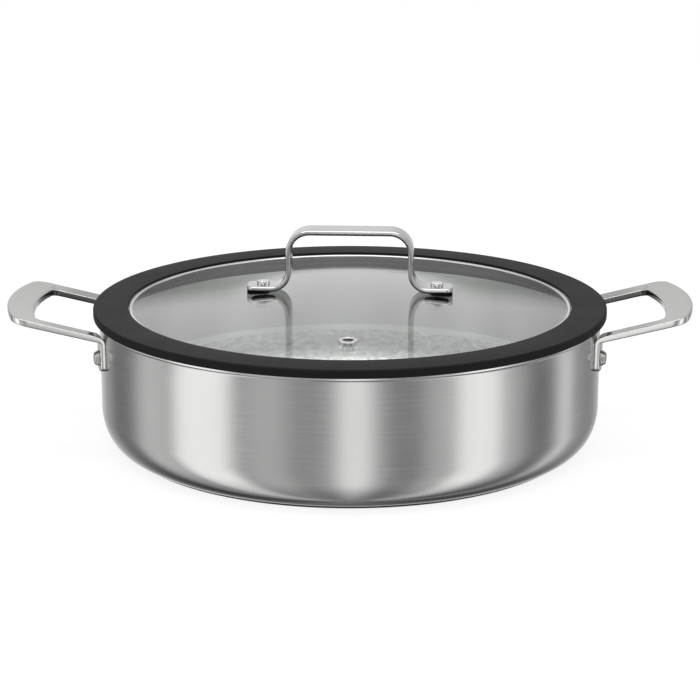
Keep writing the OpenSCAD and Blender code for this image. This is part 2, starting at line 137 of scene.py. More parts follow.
class Nodes:
    """Adds nodes to one tree, whether of a material, the world or a modifier."""

    def __init__(self, tree: bpy.types.NodeTree) -> None:
        """Starts on an empty tree.

        Args:
            tree: Tree whose nodes are replaced.
        """
        self.tree = tree
        tree.nodes.clear()

    def add(
        self,
        kind: str,
        settings: dict | None = None,
        inputs: dict | None = None,
        output: str | int | None = 0,
    ) -> Signal | None:
        """Adds one node.

        Args:
            kind: Type name of the node.
            settings: Properties, set before the sockets.
            inputs: Value or signal for each socket, by name or number.
            output: Socket that is returned, or None for a node without outputs.

        Returns:
            The chosen output, or None.
        """
        node = self.tree.nodes.new(kind)
        for key, value in (settings or {}).items():
            setattr(node, key, value)
        for key, value in (inputs or {}).items():
            self._feed(self._socket(node.inputs, key), value)
        if output is None:
            return None
        return Signal(self, self._socket(node.outputs, output))

    def math(self, operation: str, *values: Signal | float) -> Signal:
        """Adds a Math node.

        Args:
            operation: Name of the operation.
            values: Signals or numbers, in the order of the sockets.

        Returns:
            The result.
        """
        return self.add("ShaderNodeMath", {"operation": operation}, dict(enumerate(values)))

    def vector_math(self, operation: str, *values: Signal | Sequence[float]) -> Signal:
        """Adds a Vector Math node and returns its vector."""
        return self.add("ShaderNodeVectorMath", {"operation": operation}, dict(enumerate(values)))

    def step(self, value: Signal, low: float, high: float) -> Signal:
        """Smooth step from 0 at low to 1 at high.

        Args:
            value: Signal that is compared.
            low: Value at which the step starts.
            high: Value at which it ends.

        Returns:
            A signal from 0 to 1.
        """
        return self.add(
            "ShaderNodeMapRange",
            {"interpolation_type": "SMOOTHSTEP"},
            {"Value": value, "From Min": low, "From Max": high},
        )

    def mix(self, factor: Signal | float, low: Sequence, high: Sequence) -> Signal:
        """Colour between two colours or colour signals."""
        return self.add(
            "ShaderNodeMix", {"data_type": "RGBA"}, {"Factor": factor, "A": low, "B": high}, "Result"
        )

    def noise(self, vector: Signal, scale: float, detail: float = 2.0) -> Signal:
        """Fractal noise from 0 to 1 on a vector."""
        return self.add(
            "ShaderNodeTexNoise", None, {"Vector": vector, "Scale": scale, "Detail": detail}, "Fac"
        )

    def streaks(self, place: Signal, scale: Sequence[float], detail: float) -> Signal:
        """Noise that is stretched by its own scale along each axis."""
        return self.noise(self.vector_math("MULTIPLY", place, scale), 1.0, detail)

    def place(self) -> Signal:
        """Object coordinates of the surface."""
        return self.add("ShaderNodeTexCoord", None, None, "Object")

    def normal(self) -> Signal:
        """Normal of the smoothed surface."""
        return self.add("ShaderNodeNewGeometry", None, None, "Normal")

    def axis(self, vector: Signal, name: str) -> Signal:
        """One component of a vector."""
        return self.add("ShaderNodeSeparateXYZ", None, {"Vector": vector}, name)

    def radius(self, place: Signal) -> Signal:
        """Distance from the Z axis."""
        across = self.vector_math("MULTIPLY", place, (1.0, 1.0, 0.0))
        return self.add("ShaderNodeVectorMath", {"operation": "LENGTH"}, {0: across}, "Value")

    def polar(self, radius: Signal, angle: Signal, height: Signal) -> Signal:
        """Position at a radius, an angle and a height."""
        across = {"X": radius * self.math("COSINE", angle), "Y": radius * self.math("SINE", angle)}
        return self.add("ShaderNodeCombineXYZ", None, {**across, "Z": height})

    def toned(self, color: Signal, tone: Signal) -> Signal:
        """Colour multiplied by a number signal."""
        tones = self.add("ShaderNodeCombineXYZ", None, {"X": tone, "Y": tone, "Z": tone})
        return self.vector_math("MULTIPLY", color, tones)

    def light_path(self, ray: str) -> Signal:
        """Signal that is 1 for one kind of ray."""
        return self.add("ShaderNodeLightPath", None, None, ray)

    def _feed(self, socket: bpy.types.NodeSocket, value: object) -> None:
        """Links a signal to a socket, or sets its value.

        Args:
            socket: Input that is fed.
            value: Signal or plain value.
        """
        if isinstance(value, Signal):
            self.tree.links.new(value.socket, socket)
        else:
            socket.default_value = value

    @staticmethod
    def _socket(sockets: bpy.types.NodeInputs, key: str | int) -> bpy.types.NodeSocket:
        """Finds a socket by number, or the one in use by name.

        Args:
            sockets: Inputs or outputs of a node.
            key: Number or name.

        Returns:
            The socket.
        """
        if isinstance(key, int):
            return sockets[key]
        return next(s for s in sockets if s.name == key and s.enabled and not s.is_unavailable)


@dataclass(frozen=True)
class Finish:
    """Shared base of every finish."""

    name: str

    def material(self) -> bpy.types.Material:
        """Builds the material, or returns the one already made.

        Returns:
            The finished material.
        """
        found = bpy.data.materials.get(self.name)
        if found is not None:
            return found
        made = bpy.data.materials.new(self.name)
        made.use_nodes = True
        nodes = Nodes(made.node_tree)
        shader = self.shader(nodes)
        nodes.add("ShaderNodeOutputMaterial", None, {"Surface": shader}, None)
        return made

    def shader(self, nodes: Nodes) -> Signal:
        """Adds the finish's nodes and returns its shader."""
        raise NotImplementedError

    def surface(self, nodes: Nodes, varied: dict, constant: dict | None = None) -> Signal:
        """Adds the main surface shader.

        Args:
            nodes: Tree that is filled.
            varied: Sockets whose value changes over the surface.
            constant: Sockets that hold one value.

        Returns:
            The shader.
        """
        return nodes.add("ShaderNodeBsdfPrincipled", None, {**(constant or {}), **varied})


def shades(color: Color, darker: float, lighter: float) -> tuple[Color, Color]:
    """Two shades of a colour.

    Args:
        color: Red, green and blue.
        darker: Share of the colour in the darker shade.
        lighter: Share of the colour in the lighter shade.

    Returns:
        The darker and the lighter shade, as shader colours.
    """
    dark = tuple(c * darker for c in color)
    light = tuple(min(1.0, c * lighter) for c in color)
    return dark + (1.0,), light + (1.0,)


@dataclass(frozen=True)
class BrushedSteel(Finish):
    """Stainless steel with a directional grain, soft smudges and a few longer scratches."""

    color: Color = (0.62, 0.615, 0.61)
    roughness: float = 0.28
    grain: Grain = Grain.ROUND_THE_WALL
    grain_depth: float = 0.18
    smudge: float = 0.06
    anisotropy: float = 0.0
    # underside: share of painted shade on the sides that look down
    underside: float = 0.0
    scratches: float = 0.0
    lines: float = 0.35
    clouds: float = 0.4
    cloud_scale: float = 34.0
    ring_scale: float = 2400.0
    darker: float = 0.86
    lighter: float = 1.12

    def shader(self, nodes: Nodes) -> Signal:
        """Adds grain to colour, roughness and normal.

        Args:
            nodes: Tree that is filled.

        Returns:
            The steel shader.
        """
        place = nodes.place()
        lines = nodes.noise(self.grain_vector(nodes, place), 1.0, 4.0)
        cloud = nodes.noise(place, self.cloud_scale, 3.0)
        tint = (lines - 0.5) * self.lines + (cloud - 0.5) * self.clouds + 0.5
        rough = (lines - 0.5) * 0.12 + (cloud - 0.5) * (2.0 * self.smudge) + self.roughness
        if self.scratches > 0.0:
            hairs = self.hairlines(nodes, place)
            tint = tint + hairs * self.scratches
            rough = rough + hairs * (0.5 * self.scratches)
        color = nodes.mix(tint, *shades(self.color, self.darker, self.lighter))
        tone = self.tone(nodes, place)
        relief = nodes.add(
            "ShaderNodeBump", None, {"Height": lines, "Strength": self.grain_depth, "Distance": 0.0002}
        )
        return self.surface(
            nodes,
            {
                "Base Color": color if tone is None else nodes.toned(color, tone),
                "Roughness": rough,
                "Normal": relief,
            },
            {"Metallic": 1.0, "Anisotropic": self.anisotropy},
        )

    def hairlines(self, nodes: Nodes, place: Signal) -> Signal:
        """Long, thin and rare scratches along the brushing.

        Args:
            nodes: Tree that is filled.
            place: Object coordinates.

        Returns:
            A signal that is 1 on a scratch and 0 beside it.
        """
        threads = nodes.streaks(place, (22.0, 22.0, 1500.0), 1.0)
        patches = nodes.streaks(place, (14.0, 14.0, 60.0), 2.0)
        return nodes.step(threads, 0.66, 0.76) * nodes.step(patches, 0.5, 0.62)

    def tone(self, nodes: Nodes, place: Signal) -> Signal | None:
        """Share of the colour at each place.

        Args:
            nodes: Tree that is filled.
            place: Object coordinates.

        Returns:
            Less than 1 on sides that look down, where shade under the piece is painted into
            the colour, or None for an even tone.
        """
        if self.underside <= 0.0:
            return None
        upward = nodes.axis(nodes.normal(), "Z")
        # Painted shade on the sides that look down
        return 1.0 - nodes.step(-upward, -0.05, 0.4) * self.underside

    def grain_vector(self, nodes: Nodes, place: Signal) -> Signal:
        """Stretches the coordinates along the brushing.

        Args:
            nodes: Tree that is filled.
            place: Object coordinates.

        Returns:
            The vector that the grain's noise reads.
        """
        if self.grain is not Grain.TURNED:
            return nodes.vector_math("MULTIPLY", place, self.grain.value)
        across = nodes.radius(place) * self.ring_scale
        rings = nodes.add("ShaderNodeCombineXYZ", None, {"X": across, "Y": 0.5, "Z": 0.5})
        return nodes.vector_math("ADD", rings, nodes.vector_math("MULTIPLY", place, (9.0, 9.0, 9.0)))


@dataclass(frozen=True)
class PanInside(BrushedSteel):
    """Satin wall above a mottled, finely pitted lower part, with a painted highlight line between them."""

    floor_top: float = 0.0250
    line_low: float = 0.0275
    line_high: float = 0.0305
    # Painted highlight along the line between the wall and the floor
    painted_line_highlight: float = 1.3
    patches: float = 1.7
    patch_scale: float = 170.0
    patch_squash: float = 2.6
    pits: float = 0.6
    pit_scale: float = 420.0
    pit_depth: float = 1.4
    line_depth: float = 0.25
    floor_dulling: float = 0.2
    middle_tint: float = 0.36
    clouds: float = 0.3
    cloud_scale: float = 30.0
    darker: float = 0.7
    lighter: float = 1.5

    def shader(self, nodes: Nodes) -> Signal:
        """Blends the wall's grain into the pits.

        Args:
            nodes: Tree that is filled.

        Returns:
            The shader of the inside.
        """
        place = nodes.place()
        height = nodes.axis(place, "Z")
        floor = 1.0 - nodes.step(height, self.floor_top, self.line_low)
        lines = nodes.noise(self.grain_vector(nodes, place), 1.0, 3.0)
        cloud = nodes.noise(place, self.cloud_scale, 2.0)
        pits = nodes.add(
            "ShaderNodeTexVoronoi",
            {"feature": "SMOOTH_F1"},
            {"Vector": place, "Scale": self.pit_scale},
            "Distance",
        )
        squashed = nodes.vector_math("MULTIPLY", place, (1.0, 1.0, self.patch_squash))
        patch = nodes.noise(squashed, self.patch_scale, 3.0)
        relief = pits * floor * self.pit_depth + lines * (1.0 - floor) * self.line_depth
        line = (1.0 - floor) * (1.0 - nodes.step(height, self.line_low, self.line_high))
        tint = (patch - 0.5) * floor * self.patches + (cloud - 0.5) * self.clouds
        tint = tint + (pits - 0.4) * floor * self.pits + self.middle_tint
        # Painted highlight on the line between the wall and the floor
        tint = tint + line * self.painted_line_highlight
        rough = self.roughness + floor * self.floor_dulling + (cloud - 0.5) * self.smudge
        bump = nodes.add(
            "ShaderNodeBump", None, {"Height": relief, "Strength": 0.35, "Distance": 0.0004}
        )
        color = nodes.mix(tint, *shades(self.color, self.darker, self.lighter))
        return self.surface(
            nodes, {"Base Color": color, "Roughness": rough, "Normal": bump}, {"Metallic": 1.0}
        )


@dataclass(frozen=True)
class WallSteel(BrushedSteel):
    """Brushed wall with a painted highlight on its lip."""

    lip_start: float = PAN_HEIGHT - 0.0022
    lip_end: float = PAN_HEIGHT - 0.0014
    # Painted highlight on the lip, where it catches the light
    polished: float = 0.12

    def tone(self, nodes: Nodes, place: Signal) -> Signal:
        """Full below the lip, with a painted highlight on it."""
        return nodes.step(nodes.axis(place, "Z"), self.lip_start, self.lip_end) * self.polished + 1.0


@dataclass(frozen=True)
class SideHandleSteel(BrushedSteel):
    """Satin faces, with a painted highlight on the outer edge and painted shade in the opening, on the
    tops and below.
    """

    opening_side: float = HANDLE_WIDTH / 2 - HANDLE_LEG + HANDLE_EDGE
    opening_end: float = 0.1790
    side_blur: float = 0.0002
    end_blur: float = 0.0005
    grip_start: float = 0.158
    grip_end: float = 0.176
    # Painted shade in the opening, painted highlight on the outer edge, painted shade on the tops and legs
    painted_opening_shade: float = 0.8
    polished: float = 0.4
    painted_top_shade: float = 0.1
    painted_leg_shade: float = 0.3

    def tone(self, nodes: Nodes, place: Signal) -> Signal:
        """Paints shade into the opening, onto the tops, the legs and the underside, and a highlight on the
        outer edge.

        Args:
            nodes: Tree that is filled.
            place: Object coordinates.

        Returns:
            Share of the colour at each place.
        """
        along = nodes.math("ABSOLUTE", nodes.axis(place, "X"))
        across = nodes.math("ABSOLUTE", nodes.axis(place, "Y"))
        upward = nodes.axis(nodes.normal(), "Z")
        beside = nodes.step(across, self.opening_side - self.side_blur, self.opening_side + self.side_blur)
        beyond = nodes.step(along, self.opening_end - self.end_blur, self.opening_end + self.end_blur)
        opening = (1.0 - beside) * (1.0 - beyond)
        side = 1.0 - nodes.step(nodes.math("ABSOLUTE", upward), 0.3, 0.6)
        leg = 1.0 - nodes.step(along, self.grip_start, self.grip_end)
        # Painted shade on the tops, most on the legs near the wall
        top = nodes.step(upward, 0.6, 0.9) * (leg * self.painted_leg_shade + self.painted_top_shade)
        down = nodes.step(-upward, 0.0, 0.5) * self.underside
        # Painted highlight on the outer sides, painted shade on the sides of the opening
        lit = side * (1.0 - opening) * self.polished
        return 1.0 + lit - side * opening * self.painted_opening_shade - top - down


@dataclass(frozen=True)
class LidBandSteel(BrushedSteel):
    """Bright bead above a skirt with painted shade inside the pan."""

    skirt_top: float = 0.0769
    skirt_blur: float = 0.0002
    # Painted shade on the skirt under the lid
    painted_skirt_shade: float = 0.88

    def tone(self, nodes: Nodes, place: Signal) -> Signal:
        """Full on the bead, with painted shade on the skirt."""
        above = nodes.step(nodes.axis(place, "Z"), self.skirt_top - self.skirt_blur, self.skirt_top)
        return 1.0 - (1.0 - above) * self.painted_skirt_shade


@dataclass(frozen=True)
class BasePlateSteel(BrushedSteel):
    """Turned plate with painted shade on its narrow edge."""

    edge_start: float = 0.0001
    edge_end: float = 0.0004
    # Painted shade on the plate's edge
    painted_edge_shade: float = 0.85

    def tone(self, nodes: Nodes, place: Signal) -> Signal:
        """Full on the underside, with painted shade on the edge above it."""
        return 1.0 - nodes.step(nodes.axis(place, "Z"), self.edge_start, self.edge_end) * self.painted_edge_shade


@dataclass(frozen=True)
class Silicone(Finish):
    """Matt moulded silicone with a fine skin and soft patches."""

    color: Color = (0.009, 0.009, 0.009)
    roughness: float = 0.55
    gloss: float = 0.12
    skin_scale: float = 2600.0
    cloud_scale: float = 45.0
    darker: float = 0.8
    lighter: float = 1.25

    def shader(self, nodes: Nodes) -> Signal:
        """Adds the moulded skin's fine texture.

        Args:
            nodes: Tree that is filled.

        Returns:
            The silicone shader.
        """
        place = nodes.place()
        skin = nodes.noise(place, self.skin_scale, 2.0)
        cloud = nodes.noise(place, self.cloud_scale, 3.0)
        relief = nodes.add("ShaderNodeBump", None, {"Height": skin, "Strength": 0.12, "Distance": 0.0001})
        return self.surface(
            nodes,
            {
                "Base Color": nodes.mix(cloud, *shades(self.color, self.darker, self.lighter)),
                "Roughness": self.roughness + (cloud - 0.5) * 0.12,
                "Normal": relief,
            },
            {"Specular IOR Level": self.gloss},
        )


@dataclass(frozen=True)
class ClearGlass(Finish):
    """Clear tempered glass, in which one mirror stands for both faces of the pane."""

    color: Color = (0.97, 0.985, 0.975)
    ior: float = 1.5
    flatness: float = -0.15
    back_start: float = 0.048
    back_end: float = 0.074
    back_share: float = 0.2
    half_blur: float = 0.03

    def shader(self, nodes: Nodes) -> Signal:
        """Lays a calm, nearly flat reflection over the clear body, weaker towards the back.

        Args:
            nodes: Tree that is filled.

        Returns:
            The glass shader.
        """
        place = nodes.place()
        behind = nodes.step(nodes.axis(place, "Y"), -self.half_blur, self.half_blur)
        back = nodes.step(nodes.radius(place), self.back_start, self.back_end) * behind
        leaning = nodes.vector_math("MULTIPLY", nodes.normal(), (self.flatness, self.flatness, 1.0))
        one_face = nodes.add("ShaderNodeFresnel", None, {"IOR": self.ior})
        both_faces = one_face * 2.0 / (one_face + 1.0)
        leaving = nodes.add("ShaderNodeNewGeometry", None, None, "Backfacing")
        share = both_faces * (1.0 - leaving) * (1.0 - back * (1.0 - self.back_share))
        clear = nodes.add("ShaderNodeBsdfTransparent", None, {"Color": self.color + (1.0,)})
        mirror = nodes.add(
            "ShaderNodeBsdfGlossy",
            None,
            {"Color": WHITE, "Roughness": 0.0, "Normal": nodes.vector_math("NORMALIZE", leaning)},
        )
        return nodes.add("ShaderNodeMixShader", None, {0: share, 1: clear, 2: mirror})


WALL_STEEL = WallSteel(
    "wall_steel",
    (0.66, 0.655, 0.65),
    0.17,
    grain_depth=0.08,
    smudge=0.03,
    anisotropy=0.6,
    scratches=0.18,
)
INSIDE_STEEL = PanInside("inside_steel", (0.86, 0.855, 0.85), 0.16)
CORE_ALUMINIUM = BrushedSteel("core_rolled", (0.72, 0.72, 0.73), 0.35)
BASE_STEEL = BasePlateSteel("base_turned", (0.42, 0.42, 0.42), 0.34, Grain.TURNED, 0.3)
HANDLE_STEEL = SideHandleSteel(
    "side_handle_satin",
    (0.57, 0.567, 0.56),
    0.2,
    Grain.ALONG_X,
    grain_depth=0.05,
    smudge=0.03,
    # underside: painted shade on the sides that look down
    underside=0.6,
    lines=0.12,
)
LID_HANDLE_STEEL = BrushedSteel(
    "lid_handle_satin",
    (0.61, 0.605, 0.60),
    0.16,
    Grain.ALONG_X,
    grain_depth=0.04,
    smudge=0.03,
    # underside: painted shade on the sides that look down
    underside=0.93,
    lines=0.12,
)
RIVET_STEEL = BrushedSteel(
    "rivet_satin", (0.6, 0.595, 0.59), 0.27, Grain.ALONG_X, grain_depth=0.06, smudge=0.04
)
SCREW_STEEL = BrushedSteel("screw_polish", (0.74, 0.74, 0.74), 0.16, grain_depth=0.04, smudge=0.03)
BAND_STEEL = LidBandSteel("band_polish", (0.7, 0.7, 0.7), 0.16, grain_depth=0.05, smudge=0.03)
RING_SILICONE = Silicone("ring_rubber")
GASKET_SILICONE = Silicone("gasket_rubber", (0.004, 0.004, 0.004), roughness=0.6, gloss=0.05)
LID_GLASS = ClearGlass("clear_glass")


def arc(centre: Point2, radius: float, start: float, end: float, steps: int = 8) -> list[Point2]:
    """Points along an arc.

    Args:
        centre: Centre of the arc.
        radius: Its radius.
        start: First angle in degrees.
        end: Last angle in degrees.
        steps: Number of pieces between them.

    Returns:
        The points, both ends included.
    """
    return oval(centre, radius, radius, start, end, steps)


def oval(
    centre: Point2, half_w: float, half_h: float, start: float, end: float, steps: int = 8
) -> list[Point2]:
    """Points along part of an oval, with angles in degrees."""
    angles = [math.radians(start + (end - start) * i / steps) for i in range(steps + 1)]
    return [(centre[0] + half_w * math.cos(a), centre[1] + half_h * math.sin(a)) for a in angles]


def spaced(start: float, end: float, count: int) -> list[float]:
    """Evenly spaced values from the start, without the end."""
    return [start + (end - start) * i / count for i in range(count)]


def corner_inset(corner: float, lack: float) -> float:
    """Distance that a round corner draws in an edge, where it lacks this much to the straight."""
    return corner - math.sqrt(max(corner**2 - max(0.0, lack) ** 2, 0.0))


def eased(corners: Sequence[tuple[float, float, float]], steps: int = 5) -> list[Point2]:
    """Rounds the corners of a closed outline.

    Args:
        corners: Corner points, each with the radius that eases it.
        steps: Pieces in each rounded corner.

    Returns:
        The outline with its rounded corners.
    """
    outline: list[Point2] = []
    count = len(corners)
    for i, (x, y, radius) in enumerate(corners):
        here = Vector((x, y))
        if radius <= 0.0:
            outline.append((x, y))
            continue
        before = Vector(corners[i - 1][:2]) - here
        after = Vector(corners[(i + 1) % count][:2]) - here
        half = before.angle(after) / 2.0
        reach = min(radius / math.tan(half), before.length * 0.49, after.length * 0.49)
        start = here + before.normalized() * reach
        end = here + after.normalized() * reach
        for k in range(steps + 1):
            t = k / steps
            point = start * (1 - t) ** 2 + here * (2 * t * (1 - t)) + end * t**2
            outline.append((point.x, point.y))
    return outline


def mesh_object(name: str, points: Sequence, faces: Sequence[Sequence[int]]) -> bpy.types.Object:
    """Makes a linked object from points and faces.

    Args:
        name: Name of the object and its mesh.
        points: Vertex positions.
        faces: Vertex numbers of each face.

    Returns:
        The new object.
    """
    mesh = bpy.data.meshes.new(name)
    mesh.from_pydata([tuple(p) for p in points], [], faces)
    mesh.update()
    made = bpy.data.objects.new(name, mesh)
    bpy.context.scene.collection.objects.link(made)
    return made


def settle(obj: bpy.types.Object) -> bpy.types.Object:
    """Turns an object's modifiers into a plain smooth mesh with sharp creases kept.

    Args:
        obj: Object whose modifiers are applied.

    Returns:
        The same object.
    """
    bpy.context.view_layer.update()
    depsgraph = bpy.context.evaluated_depsgraph_get()
    mesh = bpy.data.meshes.new_from_object(obj.evaluated_get(depsgraph))
    obj.modifiers.clear()
    old = obj.data
    obj.data = mesh
    bpy.data.meshes.remove(old)
    mesh.name = obj.name
    mesh.shade_smooth()
    mesh.set_sharp_from_angle(angle=SMOOTH_ANGLE)
    return obj


def finish_piece(
    obj: bpy.types.Object, body: Body, slot: str, finish: Finish, *replaced: str
) -> None:
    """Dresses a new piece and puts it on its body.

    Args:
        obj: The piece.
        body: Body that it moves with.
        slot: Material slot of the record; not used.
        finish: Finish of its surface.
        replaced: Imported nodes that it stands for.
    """
    obj.data.materials.clear()
    obj.data.materials.append(finish.material())
    if replaced:
        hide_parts(*replaced)
    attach(obj, body.value)
    LOG.info("%s: %d faces on %s", obj.name, len(obj.data.polygons), body.value)


class GeometryTree:
    """A geometry tree with named inputs that ends in realised, dressed geometry."""

    def __init__(self, name: str, sockets: dict[str, str]) -> None:
        """Makes the tree and its sockets.

        Args:
            name: Name of the tree.
            sockets: Socket type of each named input.
        """
        self.tree = bpy.data.node_groups.new(name, "GeometryNodeTree")
        self.nodes = Nodes(self.tree)
        self.ids: dict[str, str] = {}
        interface = self.tree.interface
        interface.new_socket("Geometry", in_out="INPUT", socket_type="NodeSocketGeometry")
        for label, kind in {**sockets, "Material": "NodeSocketMaterial"}.items():
            made = interface.new_socket(label, in_out="INPUT", socket_type=kind)
            self.ids[label] = made.identifier
        interface.new_socket("Geometry", in_out="OUTPUT", socket_type="NodeSocketGeometry")
        self.group_input = self.tree.nodes.new("NodeGroupInput")

    def take(self, label: str) -> Signal:
        """Signal of one named input."""
        return Signal(self.nodes, self.group_input.outputs[label])

    def close(self, geometry: Signal) -> None:
        """Realises, dresses and outputs the geometry.

        Args:
            geometry: Geometry that the tree has made.
        """
        real = self.nodes.add("GeometryNodeRealizeInstances", None, {"Geometry": geometry})
        dressed = self.nodes.add(
            "GeometryNodeSetMaterial", None, {"Geometry": real, "Material": self.take("Material")}
        )
        self.nodes.add("NodeGroupOutput", None, {0: dressed}, None)

    def apply(self, obj: bpy.types.Object, values: dict[str, object]) -> bpy.types.Object:
        """Runs the tree on an object and keeps the result as its mesh.

        Args:
            obj: Object that carries the modifier.
            values: Value of each named input.

        Returns:
            The same object.
        """
        modifier = obj.modifiers.new(self.tree.name, "NODES")
        modifier.node_group = self.tree
        for label, value in values.items():
            modifier[self.ids[label]] = value
        return settle(obj)


class TurnedTree(GeometryTree):
    """Turns a section in the XZ plane about the Z axis."""

    def __init__(self) -> None:
        """Builds the tree."""
        super().__init__("turned_piece", {"Points": "NodeSocketInt", "Segments": "NodeSocketInt"})
        nodes = self.nodes
        count = self.take("Points")
        segments = self.take("Segments")
        grid = nodes.add(
            "GeometryNodeMeshGrid", None, {"Vertices X": segments + 1.0, "Vertices Y": count}, "Mesh"
        )
        index = nodes.add("GeometryNodeInputIndex")
        row = nodes.math("FLOOR", (index + 0.5) / count)
        column = index - row * count
        section = nodes.add(
            "GeometryNodeSampleIndex",
            {"data_type": "FLOAT_VECTOR"},
            {
                "Geometry": self.take("Geometry"),
                "Value": nodes.add("GeometryNodeInputPosition"),
                "Index": column,
            },
            "Value",
        )
        angle = row * (2.0 * math.pi) / segments
        place = nodes.polar(nodes.axis(section, "X"), angle, nodes.axis(section, "Z"))
        turned = nodes.add("GeometryNodeSetPosition", None, {"Geometry": grid, "Position": place})
        merged = nodes.add("GeometryNodeMergeByDistance", None, {"Geometry": turned, "Distance": MERGE})
        self.close(merged)

    def make(
        self, name: str, section: Sequence[Point2], finish: Finish, segments: int = 256
    ) -> bpy.types.Object:
        """Turns one closed section.

        Args:
            name: Name of the piece.
            section: Outline of radius and height, listed so that its left side is outside.
            finish: Finish of the piece.
            segments: Number of steps round the axis.

        Returns:
            The turned piece.
        """
        ring = list(section) + [section[0]]
        made = mesh_object(name, [(r, 0.0, z) for r, z in ring], [])
        self.apply(
            made, {"Points": len(ring), "Segments": segments, "Material": finish.material()}
        )
        return face_outwards(made)


class CopiesTree(GeometryTree):
    """Sets copies of a piece about the Z axis, in like groups on both sides."""

    def __init__(self) -> None:
        """Builds the tree."""
        super().__init__(
            "copies_on_both_sides",
            {
                "Piece": "NodeSocketObject",
                "Per Side": "NodeSocketInt",
                "Spread": "NodeSocketFloat",
                "Turn": "NodeSocketFloat",
                "Radius": "NodeSocketFloat",
                "Height": "NodeSocketFloat",
                "Tilt": "NodeSocketFloat",
            },
        )
        nodes = self.nodes
        per_side = self.take("Per Side")
        line = nodes.add("GeometryNodeMeshLine", None, {"Count": per_side * 2.0}, "Mesh")
        index = nodes.add("GeometryNodeInputIndex")
        side = nodes.math("FLOOR", (index + 0.5) / per_side)
        rank = index - side * per_side
        offset = (rank * 2.0 - (per_side - 1.0)) * self.take("Spread")
        angle = self.take("Turn") + offset + side * math.pi
        place = nodes.polar(self.take("Radius"), angle, self.take("Height"))
        points = nodes.add("GeometryNodeSetPosition", None, {"Geometry": line, "Position": place})
        piece = nodes.add("GeometryNodeObjectInfo", None, {"Object": self.take("Piece")}, "Geometry")
        rotation = nodes.add("ShaderNodeCombineXYZ", None, {"Y": self.take("Tilt"), "Z": angle})
        copies = nodes.add(
            "GeometryNodeInstanceOnPoints",
            None,
            {"Points": points, "Instance": piece, "Rotation": rotation},
        )
        self.close(copies)

    def make(self, name: str, piece: bpy.types.Object, finish: Finish, **sizes: float) -> bpy.types.Object:
        """Copies one piece and removes the original.

        Args:
            name: Name of the group of copies.
            piece: Piece along the local Z axis.
            finish: Finish of the copies.
            sizes: Values of the named inputs, with spaces written as underscores.

        Returns:
            One object that holds every copy.
        """
        values = {label.replace("_", " ").title(): value for label, value in sizes.items()}
        made = mesh_object(name, [], [])
        self.apply(made, {"Piece": piece, "Material": finish.material(), **values})
        bpy.data.objects.remove(piece)
        return made


def face_outwards(obj: bpy.types.Object) -> bpy.types.Object:
    """Turns a closed mesh's faces outwards when its volume comes out negative.

    Args:
        obj: Object with a closed mesh.

    Returns:
        The same object.
    """
    volume = 0.0
    mesh = obj.data
    for face in mesh.polygons:
        corners = [mesh.vertices[i].co for i in face.vertices]
        for i in range(1, len(corners) - 1):
            volume += corners[0].dot(corners[i].cross(corners[i + 1]))
    if volume < 0.0:
        mesh.flip_normals()
        mesh.update()
    return obj


def loft(name: str, rings: Sequence[Sequence[Vector]]) -> bpy.types.Object:
    """Joins closed rings of equal length into one capped skin.

    Args:
        name: Name of the piece.
        rings: Rings from one end to the other.

    Returns:
        The closed piece.
    """
    count = len(rings[0])
    points = [p for ring in rings for p in ring]
    faces: list[list[int]] = []
    for i in range(len(rings) - 1):
        low, high = i * count, (i + 1) * count
        for j in range(count):
            k = (j + 1) % count
            faces.append([low + j, low + k, high + k, high + j])
    last = (len(rings) - 1) * count
    faces.append(list(range(count))[::-1])
    faces.append([last + j for j in range(count)])
    made = mesh_object(name, points, faces)
    return face_outwards(settle(made))


def flipped(rings: Sequence[Sequence[Vector]], x: int = 1, y: int = 1) -> list[list[Vector]]:
    """Copies of rings whose x and y are multiplied by 1 or -1."""
    return [[Vector((x * p.x, y * p.y, p.z)) for p in ring] for ring in rings]


def round_hole(
    name: str, centre: Point2, radius: float, reach: tuple[float, float], place: Matrix
) -> bpy.types.Object:
    """Solid of a round hole, to be cut out of the glass.

    Args:
        name: Name of the solid.
        centre: Centre of the hole before it is placed.
        radius: Radius of the hole.
        reach: Lower and upper end.
        place: Placement of the solid.

    Returns:
        The solid.
    """
    ring = arc(centre, radius, 0, 350, 35)
    return loft(name, [[place @ Vector((x, y, z)) for x, y in ring] for z in reach])


def strap_section(width: float, thickness: float, edge: float, spans: int = 6) -> list[Point2]:
    """Closed section of a strap with eased edges.

    Args:
        width: Width of the strap.
        thickness: Its thickness.
        edge: Radius of its edges.
        spans: Pieces across each broad face.

    Returns:
        Points of distance across and depth, the same number at any size.
    """
    edge = min(edge, width * 0.45, thickness * 0.45)
    section: list[Point2] = []
    flat = spaced(edge, width - edge, spans)[1:]
    section += arc((edge, edge), edge, 180, 270, 4)
    section += [(a, 0.0) for a in flat]
    section += arc((width - edge, edge), edge, -90, 0, 4)
    section += arc((width - edge, thickness - edge), edge, 0, 90, 4)
    section += [(a, thickness) for a in reversed(flat)]
    section += arc((edge, thickness - edge), edge, 90, 180, 4)
    return section


